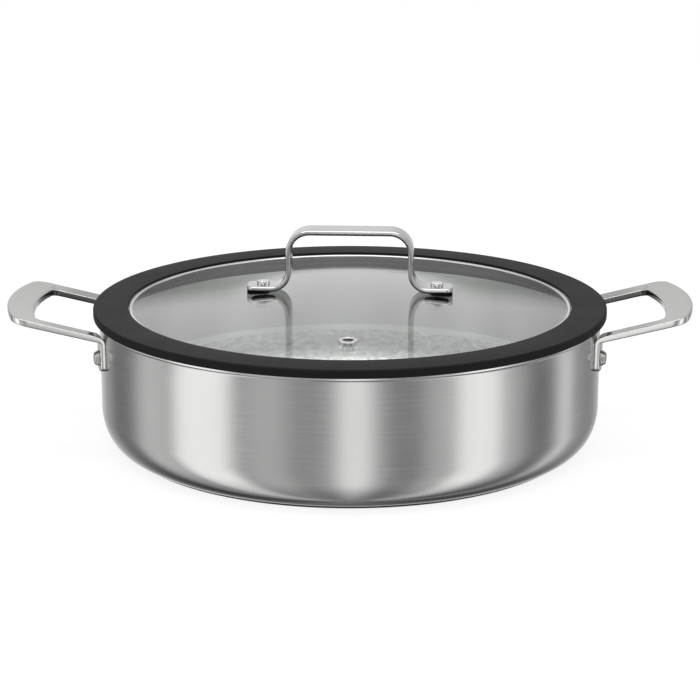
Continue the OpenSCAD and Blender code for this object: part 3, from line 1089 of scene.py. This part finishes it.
@dataclass
class PanBody:
    """Clad pan body: three plies drawn to one shape, over an induction plate."""

    inner_radius: float = 0.140
    outer_ply: float = 0.0005
    core_ply: float = 0.0014
    inner_ply: float = 0.0004
    height: float = PAN_HEIGHT
    corner_width: float = 0.0138
    corner_height: float = 0.0214
    lip_out: float = 0.0016
    flare_height: float = 0.0018
    lip_edge: float = 0.0011
    rim_edge: float = 0.0003
    base_plate: float = 0.0012

    @property
    def wall(self) -> float:
        """Thickness of the whole wall."""
        return self.outer_ply + self.core_ply + self.inner_ply

    @property
    def radius(self) -> float:
        """Outer radius of the wall."""
        return self.inner_radius + self.wall

    def path(self, depth: float, ease: float = 0.0) -> list[Point2]:
        """Path of the wall from the middle of the floor to the rim.

        Args:
            depth: Distance inwards from the outer surface.
            ease: Distance by which the path stops short of the rim.

        Returns:
            Points of radius and height.
        """
        bend = self.flare_height / math.sin(2 * math.atan(self.lip_out / self.flare_height))
        radius = bend + depth
        sweep = math.degrees(math.asin(self.flare_height / radius))
        corner = (self.radius - self.corner_width, self.base_plate + self.corner_height)
        flare = (self.radius + bend, self.height - self.lip_edge - self.flare_height)
        floor = self.base_plate + depth
        points = [(r, floor) for r in spaced(0.0, corner[0], 12)]
        points += oval(corner, self.corner_width - depth, self.corner_height - depth, -90, 0, 24)
        points += [(self.radius - depth, z) for z in spaced(corner[1], flare[1], 6)[1:]]
        points += arc(flare, radius, 180, 180 - sweep, 10)
        points += [(points[-1][0], self.height - ease)]
        return points

    def ply(self, near: float, far: float, ease_near: float = 0.0, ease_far: float = 0.0) -> list[Point2]:
        """Closed section of one ply.

        Args:
            near: Depth of its outer face.
            far: Depth of its inner face.
            ease_near: Rounding of its outer rim edge.
            ease_far: Rounding of its inner rim edge.

        Returns:
            The section.
        """
        outer = self.path(near, ease_near)
        inner = self.path(far, ease_far)
        top: list[Point2] = []
        if ease_near:
            top += arc((outer[-1][0] - ease_near, outer[-1][1]), ease_near, 0, 90, 4)[1:]
        if ease_far:
            top += arc((inner[-1][0] + ease_far, inner[-1][1]), ease_far, 90, 180, 4)[:-1]
        return outer + top + inner[::-1]

    def build(self, turned: TurnedTree) -> None:
        """Makes and dresses the plies.

        Args:
            turned: Tree that turns a section.
        """
        edge = self.rim_edge
        core = (self.outer_ply, self.outer_ply + self.core_ply)
        skin = turned.make("pan_outer_wall", self.ply(0.0, self.outer_ply, edge), WALL_STEEL)
        finish_piece(skin, Body.PAN, "pan_outer_steel", WALL_STEEL, "pan_outer_skin")
        middle = turned.make("pan_core_ply", self.ply(*core), CORE_ALUMINIUM)
        finish_piece(middle, Body.PAN, "core_aluminium", CORE_ALUMINIUM, "pan_core")
        inside = turned.make("pan_inside", self.ply(core[1], self.wall, 0.0, edge), INSIDE_STEEL)
        finish_piece(inside, Body.PAN, "pan_inner_steel", INSIDE_STEEL, "pan_inner_skin")


@dataclass
class SideHandle:
    """One bent strap handle with a D-shaped opening, hugging the wall with two tabs."""

    pan: PanBody
    reach: float = 0.0518
    width: float = HANDLE_WIDTH
    leg: float = HANDLE_LEG
    grip: float = 0.015
    grip_curve: float = 0.120
    opening_curve: float = 0.120
    corner: float = 0.010
    opening_corner: float = 0.004
    tilt: float = math.radians(14)
    tab_thickness: float = 0.0028
    leg_thickness: float = 0.0034
    grip_thickness: float = 0.0038
    bend: float = 0.005
    drop: float = 0.0045
    tab_drop: float = 0.0249
    tab_corner: float = 0.003
    edge: float = HANDLE_EDGE
    upright_from: float = 0.012

    @property
    def tip(self) -> float:
        """Distance of the handle's end from the pan's axis."""
        return self.pan.radius + self.reach

    @property
    def bend_centre(self) -> Point2:
        """Radius and height of the bend's centre."""
        top = self.pan.height - self.drop
        return self.pan.radius + self.bend, top - self.bend * math.cos(self.tilt)

    @property
    def tab_length(self) -> float:
        """Length of the straight tab below the bend."""
        return self.bend_centre[1] - (self.pan.height - self.tab_drop)

    @property
    def bend_length(self) -> float:
        """Length round the bend on its upper side."""
        return self.bend * (math.pi / 2 - self.tilt)

    @property
    def arm_start(self) -> float:
        """Radius at which the sloping arm starts."""
        return self.bend_centre[0] - self.bend * math.sin(self.tilt)

    def along(self, radius: float) -> float:
        """Length along the strap at a radius on the arm."""
        return self.tab_length + self.bend_length + (radius - self.arm_start) / math.cos(self.tilt)

    def thickness(self, length: float) -> float:
        """Thickness of the strap, which grows from the tab to the grip.

        Args:
            length: Length along the strap from the lower end of its tab.

        Returns:
            The thickness there.
        """
        bend_start, bend_end = self.tab_length, self.tab_length + self.bend_length
        if length <= bend_start:
            return self.tab_thickness
        if length <= bend_end:
            share = (length - bend_start) / self.bend_length
            return self.tab_thickness + share * (self.leg_thickness - self.tab_thickness)
        share = (length - bend_end) / (self.along(self.tip) - bend_end)
        return self.leg_thickness + min(1.0, share) * (self.grip_thickness - self.leg_thickness)

    def lift(self, length: float, y: float, depth: float) -> Vector:
        """Point of the strap.

        Args:
            length: Length along the strap from the lower end of its tab.
            y: Distance across the handle.
            depth: Depth below its upper face.

        Returns:
            The point in space, for the handle on the right.
        """
        centre_r, centre_z = self.bend_centre
        if length <= self.tab_length:
            r, z = self.pan.radius + depth, self.pan.height - self.tab_drop + length
        elif length <= self.tab_length + self.bend_length:
            turn = math.pi - (length - self.tab_length) / self.bend
            reach = self.bend - depth
            r, z = centre_r + reach * math.cos(turn), centre_z + reach * math.sin(turn)
        else:
            run = length - self.tab_length - self.bend_length
            fade = max(0.0, 1.0 - run / self.upright_from)
            shift = fade * depth * math.sin(self.tilt)
            fall = (depth - shift * math.sin(self.tilt)) / math.cos(self.tilt)
            r = self.arm_start + run * math.cos(self.tilt) + shift
            z = self.pan.height - self.drop + run * math.sin(self.tilt) - fall
        return Vector((math.sqrt(max(r * r - y * y, 0.0)), y, z))

    def leg_rings(self) -> list[list[Vector]]:
        """Rings of the front leg.

        Returns:
            The rings from the tab's lower end to the corner.
        """
        rings = []
        corner_r = math.hypot(self.tip - self.corner - self.leg, self.width / 2)
        arm_from = self.tab_length + self.bend_length
        tab = spaced(0.0, self.tab_corner, 8) + spaced(self.tab_corner, self.tab_length, 5)
        bend = spaced(self.tab_length, arm_from, 10)
        arm = spaced(arm_from, self.along(corner_r), 12)
        for length in tab + bend + arm:
            inset = corner_inset(self.tab_corner, self.tab_corner - length)
            outer = -self.width / 2 + inset
            inner = -self.width / 2 + self.leg - inset
            thick = self.thickness(length)
            ring = []
            for across, depth in strap_section(inner - outer, thick, self.edge):
                ring.append(self.lift(length, outer + across, depth))
            rings.append(ring)
        return rings

    def rim_paths(self) -> tuple[list[Point2], list[Point2]]:
        """Outer and inner outlines of the grip's front half, point for point.

        Returns:
            Two lists of x and y, from the leg's end to the middle of the grip.
        """
        outer_c = self.tip - self.grip_curve
        inner_c = self.tip - self.grip - self.opening_curve
        outer_y = self.width / 2 - self.corner
        inner_y = self.width / 2 - self.leg - self.opening_corner
        outer_x = outer_c + math.sqrt((self.grip_curve - self.corner) ** 2 - outer_y**2)
        inner_x = inner_c + math.sqrt((self.opening_curve - self.opening_corner) ** 2 - inner_y**2)
        outer_turn = math.degrees(math.atan2(outer_y, outer_x - outer_c))
        inner_turn = math.degrees(math.atan2(inner_y, inner_x - inner_c))
        corner_r = math.hypot(self.tip - self.corner - self.leg, self.width / 2)
        start = math.sqrt(corner_r**2 - (self.width / 2) ** 2)
        inner_start = math.sqrt(corner_r**2 - (self.width / 2 - self.leg) ** 2)
        steps = 4
        outer = [(x, -self.width / 2) for x in spaced(start, outer_x, steps)]
        inner = [(x, -self.width / 2 + self.leg) for x in spaced(inner_start, inner_x, steps)]
        outer += arc((outer_x, -outer_y), self.corner, -90, -outer_turn, 12)
        inner += arc((inner_x, -inner_y), self.opening_corner, -90, -inner_turn, 12)
        outer += arc((outer_c, 0.0), self.grip_curve, -outer_turn, 0, 14)[1:]
        inner += arc((inner_c, 0.0), self.opening_curve, -inner_turn, 0, 14)[1:]
        return outer, inner

    def grip_rings(self) -> list[list[Vector]]:
        """Rings of the grip's front half.

        Returns:
            The rings from the leg to the middle.
        """
        rings = []
        for (ox, oy), (ix, iy) in zip(*self.rim_paths()):
            width = math.hypot(ix - ox, iy - oy)
            thick = self.thickness(self.along(math.hypot((ox + ix) / 2, (oy + iy) / 2)))
            ring = []
            for across, depth in strap_section(width, thick, self.edge):
                share = across / width
                x, y = ox + (ix - ox) * share, oy + (iy - oy) * share
                ring.append(self.lift(self.along(math.hypot(x, y)), y, depth))
            rings.append(ring)
        return rings

    def build(self, side: int, name: str, node: str) -> None:
        """Makes one handle.

        Args:
            side: 1 for the right, -1 for the left.
            name: Name of the piece.
            node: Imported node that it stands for.
        """
        half = self.leg_rings() + self.grip_rings()
        whole = half + flipped(half[:-1], y=-1)[::-1]
        made = loft(name, flipped(whole, x=side))
        finish_piece(made, Body.PAN, "handle_steel", HANDLE_STEEL, node)


@dataclass
class HandleRivets:
    """Four rivets through the tabs: tapered heads outside, flat heads inside."""

    pan: PanBody
    handle: SideHandle
    drop: float = 0.0176
    shank: float = 0.0025
    head: float = 0.0044
    face: float = 0.00325
    head_height: float = 0.0028
    inner_head: float = 0.005
    inner_height: float = 0.0022

    def build(self, turned: TurnedTree, copies: CopiesTree) -> None:
        """Makes the rivets.

        Args:
            turned: Tree that turns a section.
            copies: Tree that sets copies on both sides.
        """
        seat = self.pan.radius + self.handle.tab_thickness
        inner = math.sqrt(self.pan.inner_radius**2 - self.inner_head**2)
        shoulder = self.head_height / 4
        section = eased(
            [
                (0.0, inner - self.inner_height, 0.0),
                (self.inner_head * 0.72, inner - self.inner_height, 0.0012),
                (self.inner_head, inner - self.inner_height * 0.35, 0.0007),
                (self.inner_head, inner, 0.0),
                (self.shank, inner, 0.0),
                (self.shank, seat, 0.0),
                (self.head, seat, 0.0),
                (self.head, seat + shoulder, 0.0004),
                (self.face, seat + self.head_height, 0.0005),
                (0.0, seat + self.head_height, 0.0),
            ]
        )
        one = turned.make("rivet", section, RIVET_STEEL, 48)
        middle = self.handle.width / 2 - self.handle.leg / 2
        made = copies.make(
            "handle_rivets",
            one,
            RIVET_STEEL,
            per_side=2,
            spread=math.asin(middle / self.pan.radius),
            turn=0.0,
            radius=0.0,
            height=self.pan.height - self.drop,
            tilt=math.pi / 2,
        )
        nodes = [f"rivet_{side}_{row}" for side in ("left", "right") for row in ("front", "back")]
        finish_piece(made, Body.PAN, "rivet_steel", RIVET_STEEL, *nodes)


@dataclass
class Lid:
    """Domed glass in a steel band with a silicone ring, an arched handle and a vent."""

    pan: PanBody
    turn: float = math.radians(-3)
    gap: float = 0.0003
    ring_overhang: float = 0.00188
    ring_width: float = 0.01978
    ring_height: float = 0.0047
    cover: float = 0.0014
    ring_edge: float = 0.0013
    ring_foot: float = 0.0005
    seat_edge: float = 0.0004
    band_sheet: float = 0.0006
    band_bend: float = 0.0006
    flange: float = 0.0008
    flange_inset: float = 0.0028
    lip: float = 0.004
    bead_width: float = 0.0024
    bead_height: float = 0.0010
    skirt_gap: float = 0.001
    skirt_depth: float = 0.0086
    glass: float = 0.004
    crown: float = 0.0098
    grip: float = 0.005
    vent_radius: float = 0.094
    vent_turn: float = math.radians(2.4)

    @property
    def ring_bottom(self) -> float:
        """Height of the ring's underside."""
        return self.pan.height + self.gap

    @property
    def ring_top(self) -> float:
        """Height of the ring's top."""
        return self.ring_bottom + self.ring_height

    @property
    def ring_radius(self) -> float:
        """Outer radius of the ring."""
        return self.pan.radius + self.pan.lip_out + self.ring_overhang

    @property
    def opening(self) -> float:
        """Inner radius of the ring."""
        return self.ring_radius - self.ring_width

    @property
    def flange_bottom(self) -> float:
        """Height of the flange's underside, on the glass."""
        return self.ring_top - self.cover - self.flange

    @property
    def skirt_radius(self) -> float:
        """Outer radius of the skirt inside the pan."""
        return self.pan.inner_radius - self.skirt_gap

    @property
    def glass_radius(self) -> float:
        """Radius of the glass's edge."""
        return self.opening + self.grip

    @property
    def dome(self) -> float:
        """Radius of the dome's sphere."""
        return (self.glass_radius**2 + self.crown**2) / (2 * self.crown)

    def fall(self, radius: float) -> float:
        """Drop of the dome from its middle to a radius."""
        return self.dome - math.sqrt(self.dome**2 - radius**2)

    @property
    def glass_top(self) -> float:
        """Height of the dome's middle."""
        return self.flange_bottom + self.fall(self.opening - self.bead_width / 2)

    def glass_height(self, radius: float) -> float:
        """Height of the glass's upper face at a radius."""
        return self.glass_top - self.fall(radius)

    def build_ring(self, turned: TurnedTree) -> None:
        """Makes the silicone ring.

        Args:
            turned: Tree that turns a section.
        """
        seat = self.skirt_radius
        flange_top = self.flange_bottom + self.flange
        section = eased(
            [
                (seat, self.ring_bottom, self.seat_edge),
                (self.ring_radius, self.ring_bottom, self.ring_foot),
                (self.ring_radius, self.ring_top, self.ring_edge),
                (self.opening, self.ring_top, self.ring_edge),
                (self.opening, flange_top, 0.0),
                (seat, flange_top, 0.0),
            ],
            6,
        )
        made = turned.make("silicone_ring", section, RING_SILICONE, 320)
        finish_piece(made, Body.LID, "ring_silicone", RING_SILICONE, "lid_ring")

    def build_band(self, turned: TurnedTree) -> None:
        """Makes the steel band.

        Args:
            turned: Tree that turns a section.
        """
        sheet = self.band_sheet
        under = self.flange_bottom
        top = under + self.flange
        flange_end = self.ring_radius - self.flange_inset
        web_foot = self.glass_height(self.glass_radius) - self.glass - sheet
        lip_end = self.glass_radius - self.lip
        lip_under = self.glass_height(lip_end) - self.glass - sheet
        skirt_foot = self.pan.height - self.skirt_depth
        bead = self.opening - self.bead_width / 2
        inner = bead - self.bead_width / 2
        fold = sheet * 0.45
        head = oval((bead, under), self.bead_width / 2, self.bead_height, 180, 20, 14)
        body = eased(
            [
                (self.opening + 0.0002, top, 0.0),
                (flange_end, top, 0.0),
                (flange_end, under, 0.0),
                (self.skirt_radius, under, self.band_bend),
                (self.skirt_radius, skirt_foot, fold),
                (self.skirt_radius - sheet, skirt_foot, fold),
                (self.skirt_radius - sheet, under, self.band_bend),
                (self.glass_radius + sheet, under, self.band_bend),
                (self.glass_radius + sheet, web_foot, 0.0008),
                (lip_end, lip_under, fold),
                (lip_end, lip_under + sheet, fold),
                (self.glass_radius, web_foot + sheet, 0.0003),
                (self.glass_radius, self.glass_height(self.glass_radius), 0.0),
                (inner, self.glass_height(inner), 0.0),
            ]
        )
        made = turned.make("glass_band", head + body, BAND_STEEL, 320)
        finish_piece(made, Body.LID, "band_steel", BAND_STEEL, "lid_band")

    def build_glass(self, turned: TurnedTree, holes: Sequence[bpy.types.Object]) -> None:
        """Makes the domed glass with its holes.

        Args:
            turned: Tree that turns a section.
            holes: Solids that are cut away and then removed.
        """
        steps = 40
        radii = [self.glass_radius * i / steps for i in range(steps + 1)]
        upper = [(r, self.glass_height(r)) for r in radii]
        lower = [(r, z - self.glass) for r, z in upper]
        made = turned.make("domed_glass", lower + upper[::-1], LID_GLASS, 192)
        for hole in holes:
            cut = made.modifiers.new("hole", "BOOLEAN")
            cut.operation = "DIFFERENCE"
            cut.solver = "EXACT"
            cut.object = hole
        settle(made)
        for hole in holes:
            bpy.data.objects.remove(hole)
        finish_piece(made, Body.LID, "lid_glass", LID_GLASS, "lid_glass")

    def vent_frame(self) -> Matrix:
        """Placement of the vent on the dome.

        Returns:
            A frame whose Z axis stands square to the glass.
        """
        azimuth = self.vent_turn + self.turn - math.pi / 2
        slope = math.asin(self.vent_radius / self.dome)
        place = Matrix.Translation((self.vent_radius, 0.0, self.glass_height(self.vent_radius)))
        return Matrix.Rotation(azimuth, 4, "Z") @ place @ Matrix.Rotation(slope, 4, "Y")


@dataclass
class VentEyelet:
    """Tubular eyelet rolled over both faces of the glass."""

    lid: Lid
    radius: float = 0.00525
    hole: float = 0.0026
    sheet: float = 0.0005
    rise: float = 0.0006
    fit: float = 0.0002
    hole_reach: float = 0.01

    def glass_hole(self) -> bpy.types.Object:
        """Makes the solid of the hole through the glass.

        Returns:
            The solid, square to the dome.
        """
        radius = self.hole + self.sheet + self.fit
        reach = (-self.hole_reach, self.hole_reach)
        return round_hole("vent_hole", (0.0, 0.0), radius, reach, self.lid.vent_frame())

    def build(self, turned: TurnedTree) -> None:
        """Makes the eyelet.

        Args:
            turned: Tree that turns a section.
        """
        sink = self.lid.fall(self.radius)
        low = -self.lid.glass - sink
        barrel = self.hole + self.sheet
        section = eased(
            [
                (self.hole, low - self.sheet, 0.0004),
                (self.radius, low - self.sheet, 0.0002),
                (self.radius, low, 0.0),
                (barrel, low, 0.0),
                (barrel, 0.0, 0.0),
                (self.radius, 0.0, 0.0),
                (self.radius, self.rise, 0.0005),
                (self.hole, self.rise, 0.0006),
            ]
        )
        made = turned.make("steam_eyelet", section, SCREW_STEEL, 64)
        made.data.transform(self.lid.vent_frame())
        finish_piece(made, Body.LID, "screw_steel", SCREW_STEEL, "vent_eyelet")


@dataclass
class LidHandle:
    """Arched strap with turned-out feet, and the fluted screws that hold it."""

    lid: Lid
    width: float = 0.017
    thickness: float = 0.003
    arch: float = 0.0724
    height: float = 0.03589
    feet: float = 0.1168
    upper_bend: float = 0.012
    lower_bend: float = 0.010
    foot_corner: float = 0.004
    edge: float = 0.0014
    screw_inset: float = 0.0089
    gasket: float = 0.001
    screw_radius: float = 0.0036
    screw_height: float = 0.0022
    shank: float = 0.002
    shank_fit: float = 0.0005
    hole_reach: tuple[float, float] = (-0.02, 0.01)
    flutes: int = 8
    flute: float = 0.00055

    @property
    def screw_x(self) -> float:
        """Distance of a screw from the lid's axis."""
        return self.feet / 2 - self.screw_inset

    @property
    def foot_bottom(self) -> float:
        """Height of the feet's underside."""
        return self.lid.glass_height(self.screw_x) + self.gasket

    def middle_line(self) -> list[tuple[Point2, Point2]]:
        """Middle line of the right half, from the top to the foot's tip.

        Returns:
            Points and the outward normals at them, both as x and z.
        """
        leg = (self.arch - self.thickness) / 2
        top = self.foot_bottom + self.height - self.thickness / 2
        foot = self.foot_bottom + self.thickness / 2
        flat_end = leg - self.upper_bend
        line = [((x, top), (0.0, 1.0)) for x in spaced(0.0, flat_end, 8)]
        centre = (flat_end, top - self.upper_bend)
        line += [
            ((centre[0] + self.upper_bend * x, centre[1] + self.upper_bend * z), (x, z))
            for x, z in arc((0.0, 0.0), 1.0, 90, 0, 12)
        ]
        low = foot + self.lower_bend
        line += [((leg, z), (1.0, 0.0)) for z in spaced(centre[1], low, 4)[1:]]
        centre = (leg + self.lower_bend, low)
        line += [
            ((centre[0] + self.lower_bend * x, centre[1] + self.lower_bend * z), (-x, -z))
            for x, z in arc((0.0, 0.0), 1.0, 180, 270, 12)
        ]
        corner = self.feet / 2 - self.foot_corner
        reaches = spaced(centre[0], corner, 5)[1:] + [corner]
        reaches += [corner + x for x, _ in arc((0.0, 0.0), self.foot_corner, -90, 0, 9)[1:]]
        line += [((x, foot), (0.0, 1.0)) for x in reaches]
        return line

    def strap(self) -> bpy.types.Object:
        """Makes the strap.

        Returns:
            The lofted strap, turned with the lid.
        """
        corner = self.feet / 2 - self.foot_corner
        half: list[list[Vector]] = []
        for (x, z), (nx, nz) in self.middle_line():
            width = self.width - 2 * corner_inset(self.foot_corner, x - corner)
            ring = []
            for across, depth in strap_section(width, self.thickness, self.edge):
                off = self.thickness / 2 - depth
                ring.append(Vector((x + nx * off, across - width / 2, z + nz * off)))
            half.append(ring)
        whole = flipped(half[1:], x=-1)[::-1] + half
        spin = Matrix.Rotation(self.lid.turn, 4, "Z")
        return loft("lid_strap_handle", [[spin @ p for p in ring] for ring in whole])

    def fluted_screw(self) -> bpy.types.Object:
        """Makes one screw with a fluted head, standing on the foot.

        Returns:
            The screw along the local Z axis.
        """
        steps = 12 * self.flutes
        chamfer = self.screw_height * 0.18
        levels = [
            (0.0, 0.0, 1.0),
            (self.screw_height * 0.3, 0.0, 1.0),
            (self.screw_height * 0.42, self.flute, 1.0),
            (self.screw_height - chamfer, self.flute, 1.0),
            (self.screw_height - chamfer * 0.4, self.flute, 0.93),
            (self.screw_height, self.flute, 0.82),
            (self.screw_height * 0.94, 0.0, 0.45),
        ]
        rings = []
        for z, depth, share in levels:
            ring = []
            for i in range(steps):
                angle = 2 * math.pi * i / steps
                groove = depth * max(0.0, math.cos(self.flutes * angle)) ** 0.8
                radius = (self.screw_radius - groove) * share
                ring.append(Vector((radius * math.cos(angle), radius * math.sin(angle), z)))
            rings.append(ring)
        return loft("fluted_screw", rings)

    def screw_hole(self, side: int) -> bpy.types.Object:
        """Makes the solid of one screw hole through the glass.

        Args:
            side: 1 for the right, -1 for the left.

        Returns:
            The solid, turned with the lid.
        """
        centre = (side * self.screw_x, 0.0)
        low, high = (self.lid.glass_top + z for z in self.hole_reach)
        spin = Matrix.Rotation(self.lid.turn, 4, "Z")
        return round_hole("screw_hole", centre, self.shank + self.shank_fit, (low, high), spin)

    def build(self, copies: CopiesTree) -> None:
        """Makes the strap and its screws.

        Args:
            copies: Tree that sets copies on both sides.
        """
        finish_piece(self.strap(), Body.LID, "lid_handle_steel", LID_HANDLE_STEEL, "lid_handle")
        made = copies.make(
            "fluted_screws",
            self.fluted_screw(),
            SCREW_STEEL,
            per_side=1,
            spread=0.0,
            turn=self.lid.turn,
            radius=self.screw_x,
            height=self.foot_bottom + self.thickness,
            tilt=0.0,
        )
        finish_piece(
            made, Body.LID, "screw_steel", SCREW_STEEL, "handle_screw_left", "handle_screw_right"
        )


@dataclass(frozen=True)
class Panel:
    """One soft vertical light panel of the studio, seen in the steel."""

    azimuth: float
    half_width: float
    level: float
    softness: float = 6.0


@dataclass
class Studio:
    """Camera, floor, panels and lamp."""

    distance: float = 1.21106
    elevation: float = math.radians(15.28)
    aim_height: float = 0.05036
    lens: float = 108.41
    sensor: float = 36.0
    base_level: float = 0.40
    top_level: float = 0.85
    top_fade: tuple[float, float] = (0.30, 0.75)
    bottom_loss: float = 0.5
    bottom_fade: tuple[float, float] = (0.60, 1.0)
    under_pan_loss: float = 0.7
    under_pan_fade: tuple[float, float] = (0.45, 0.85)
    under_pan_back: tuple[float, float] = (-0.2, 0.5)
    floor_half: float = 1.6
    floor_color: Color = (0.86, 0.86, 0.86, 1.0)
    floor_glow: float = 1.12
    floor_glow_share: float = 0.75
    lamp_place: tuple[float, float, float] = (0.0, -0.17, 1.5)
    lamp_size: tuple[float, float] = (1.4, 0.55)
    lamp_energy: float = 8.0
    panels: list[Panel] = field(
        default_factory=lambda: [
            Panel(-172.0, 14.0, 0.20, 10.0),
            Panel(-128.0, 11.0, -0.20, 6.0),
            Panel(-102.0, 9.0, 0.28, 5.0),
            Panel(-70.5, 15.5, 0.87, 4.0),
            Panel(-37.0, 8.5, 0.18, 4.0),
            Panel(-20.0, 7.0, -0.05, 5.0),
            Panel(2.2, 8.0, 0.72, 3.5),
            Panel(25.0, 8.0, -0.13, 4.0),
            Panel(41.0, 7.0, 0.15, 4.0),
            Panel(60.0, 11.0, 0.86, 4.0),
            Panel(76.0, 6.0, 0.17, 4.0),
            Panel(96.0, 8.0, -0.20, 4.0),
            Panel(114.5, 6.0, 0.48, 4.0),
            Panel(142.0, 12.0, -0.10, 6.0),
            Panel(180.0, 24.0, 0.27, 12.0),
        ]
    )

    def add_camera(self) -> None:
        """Adds the camera at the photograph's viewing angle."""
        data = bpy.data.cameras.new("camera")
        data.sensor_width = self.sensor
        data.lens = self.lens
        data.clip_start = 0.05
        made = bpy.data.objects.new("camera", data)
        bpy.context.scene.collection.objects.link(made)
        back = self.distance * math.cos(self.elevation)
        rise = self.distance * math.sin(self.elevation)
        made.location = (0.0, -back, self.aim_height + rise)
        made.rotation_euler = (math.pi / 2 - self.elevation, 0.0, 0.0)
        bpy.context.scene.camera = made

    def add_world(self) -> None:
        """Adds the surround: white to the camera, soft panels to the steel."""
        world = bpy.data.worlds.new("studio")
        bpy.context.scene.world = world
        world.use_nodes = True
        nodes = Nodes(world.node_tree)
        ray = nodes.add("ShaderNodeTexCoord", None, None, "Generated")
        x, y, z = (nodes.axis(ray, name) for name in "XYZ")
        azimuth = nodes.math("ARCTAN2", x, -y) * (180.0 / math.pi)
        level = None
        for panel in self.panels:
            away = nodes.math("ABSOLUTE", nodes.math("WRAP", azimuth - panel.azimuth, 180.0, -180.0))
            glow = 1.0 - nodes.step(
                away, panel.half_width - panel.softness, panel.half_width + panel.softness
            )
            part = glow * panel.level
            level = part if level is None else level + part
        level = level + self.base_level
        upper = nodes.step(z, *self.top_fade)
        level = level * (1.0 - upper) + upper * self.top_level
        level = level * (1.0 - nodes.step(-z, *self.bottom_fade) * self.bottom_loss)
        under_pan = nodes.step(-z, *self.under_pan_fade) * nodes.step(y, *self.under_pan_back)
        level = level * (1.0 - under_pan * self.under_pan_loss)
        plain = nodes.math(
            "MAXIMUM", nodes.light_path("Is Camera Ray"), nodes.light_path("Is Transmission Ray")
        )
        strength = level * (1.0 - plain) + plain
        light = nodes.add("ShaderNodeBackground", None, {"Color": WHITE, "Strength": strength})
        nodes.add("ShaderNodeOutputWorld", None, {"Surface": light}, None)

    def add_floor(self) -> None:
        """Adds a pale floor that keeps a soft shadow."""
        half = self.floor_half
        floor = mesh_object(
            "floor",
            [(-half, -half, 0.0), (half, -half, 0.0), (half, half, 0.0), (-half, half, 0.0)],
            [[0, 1, 2, 3]],
        )
        made = bpy.data.materials.new("pale_floor")
        made.use_nodes = True
        nodes = Nodes(made.node_tree)
        matt = nodes.add("ShaderNodeBsdfDiffuse", None, {"Color": self.floor_color})
        white = nodes.add("ShaderNodeEmission", None, {"Color": WHITE, "Strength": self.floor_glow})
        clear = nodes.add("ShaderNodeBsdfTransparent")
        seen = nodes.add("ShaderNodeMixShader", None, {0: self.floor_glow_share, 1: matt, 2: white})
        shown = nodes.add(
            "ShaderNodeMixShader", None, {0: nodes.light_path("Is Camera Ray"), 1: matt, 2: seen}
        )
        final = nodes.add(
            "ShaderNodeMixShader", None, {0: nodes.light_path("Is Glossy Ray"), 1: shown, 2: clear}
        )
        nodes.add("ShaderNodeOutputMaterial", None, {"Surface": final}, None)
        floor.data.materials.append(made)

    def add_lamp(self) -> None:
        """Adds a broad soft lamp overhead."""
        data = bpy.data.lights.new("overhead", "AREA")
        data.shape = "RECTANGLE"
        data.size, data.size_y = self.lamp_size
        data.energy = self.lamp_energy
        made = bpy.data.objects.new("overhead", data)
        made.location = self.lamp_place
        bpy.context.scene.collection.objects.link(made)

    def build(self) -> None:
        """Adds everything of the studio."""
        self.add_camera()
        self.add_world()
        self.add_floor()
        self.add_lamp()
        bpy.context.scene.view_settings.view_transform = "Standard"


def dress_kept_nodes(nodes: dict[str, bpy.types.Object]) -> None:
    """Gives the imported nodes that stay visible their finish.

    Args:
        nodes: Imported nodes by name.
    """
    pairs = {"foot_gasket": GASKET_SILICONE, "glass_washer": GASKET_SILICONE, "handle_nut": SCREW_STEEL}
    kept = {f"{kind}_{side}": finish for kind, finish in pairs.items() for side in ("left", "right")}
    for name, finish in {"base_plate": BASE_STEEL, **kept}.items():
        obj = nodes[name]
        obj.data.materials.clear()
        obj.data.materials.append(finish.material())
        LOG.info("%s keeps its packed mesh", name)


def main(frame: dict) -> None:
    """Builds every piece in order.

    Args:
        frame: The loaded frame.
    """
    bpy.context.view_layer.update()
    Studio().build()
    turned = TurnedTree()
    copies = CopiesTree()
    pan = PanBody()
    pan.build(turned)
    handle = SideHandle(pan)
    handle.build(1, "side_handle_right", "handle_right")
    handle.build(-1, "side_handle_left", "handle_left")
    HandleRivets(pan, handle).build(turned, copies)
    lid = Lid(pan)
    lid.build_ring(turned)
    lid.build_band(turned)
    arch = LidHandle(lid)
    eyelet = VentEyelet(lid)
    lid.build_glass(turned, [arch.screw_hole(1), arch.screw_hole(-1), eyelet.glass_hole()])
    eyelet.build(turned)
    arch.build(copies)
    dress_kept_nodes(frame["nodes"])


if __name__ == "__main__":
    logging.basicConfig(level=logging.INFO, format="%(name)s: %(message)s")
    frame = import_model()
    main(frame)
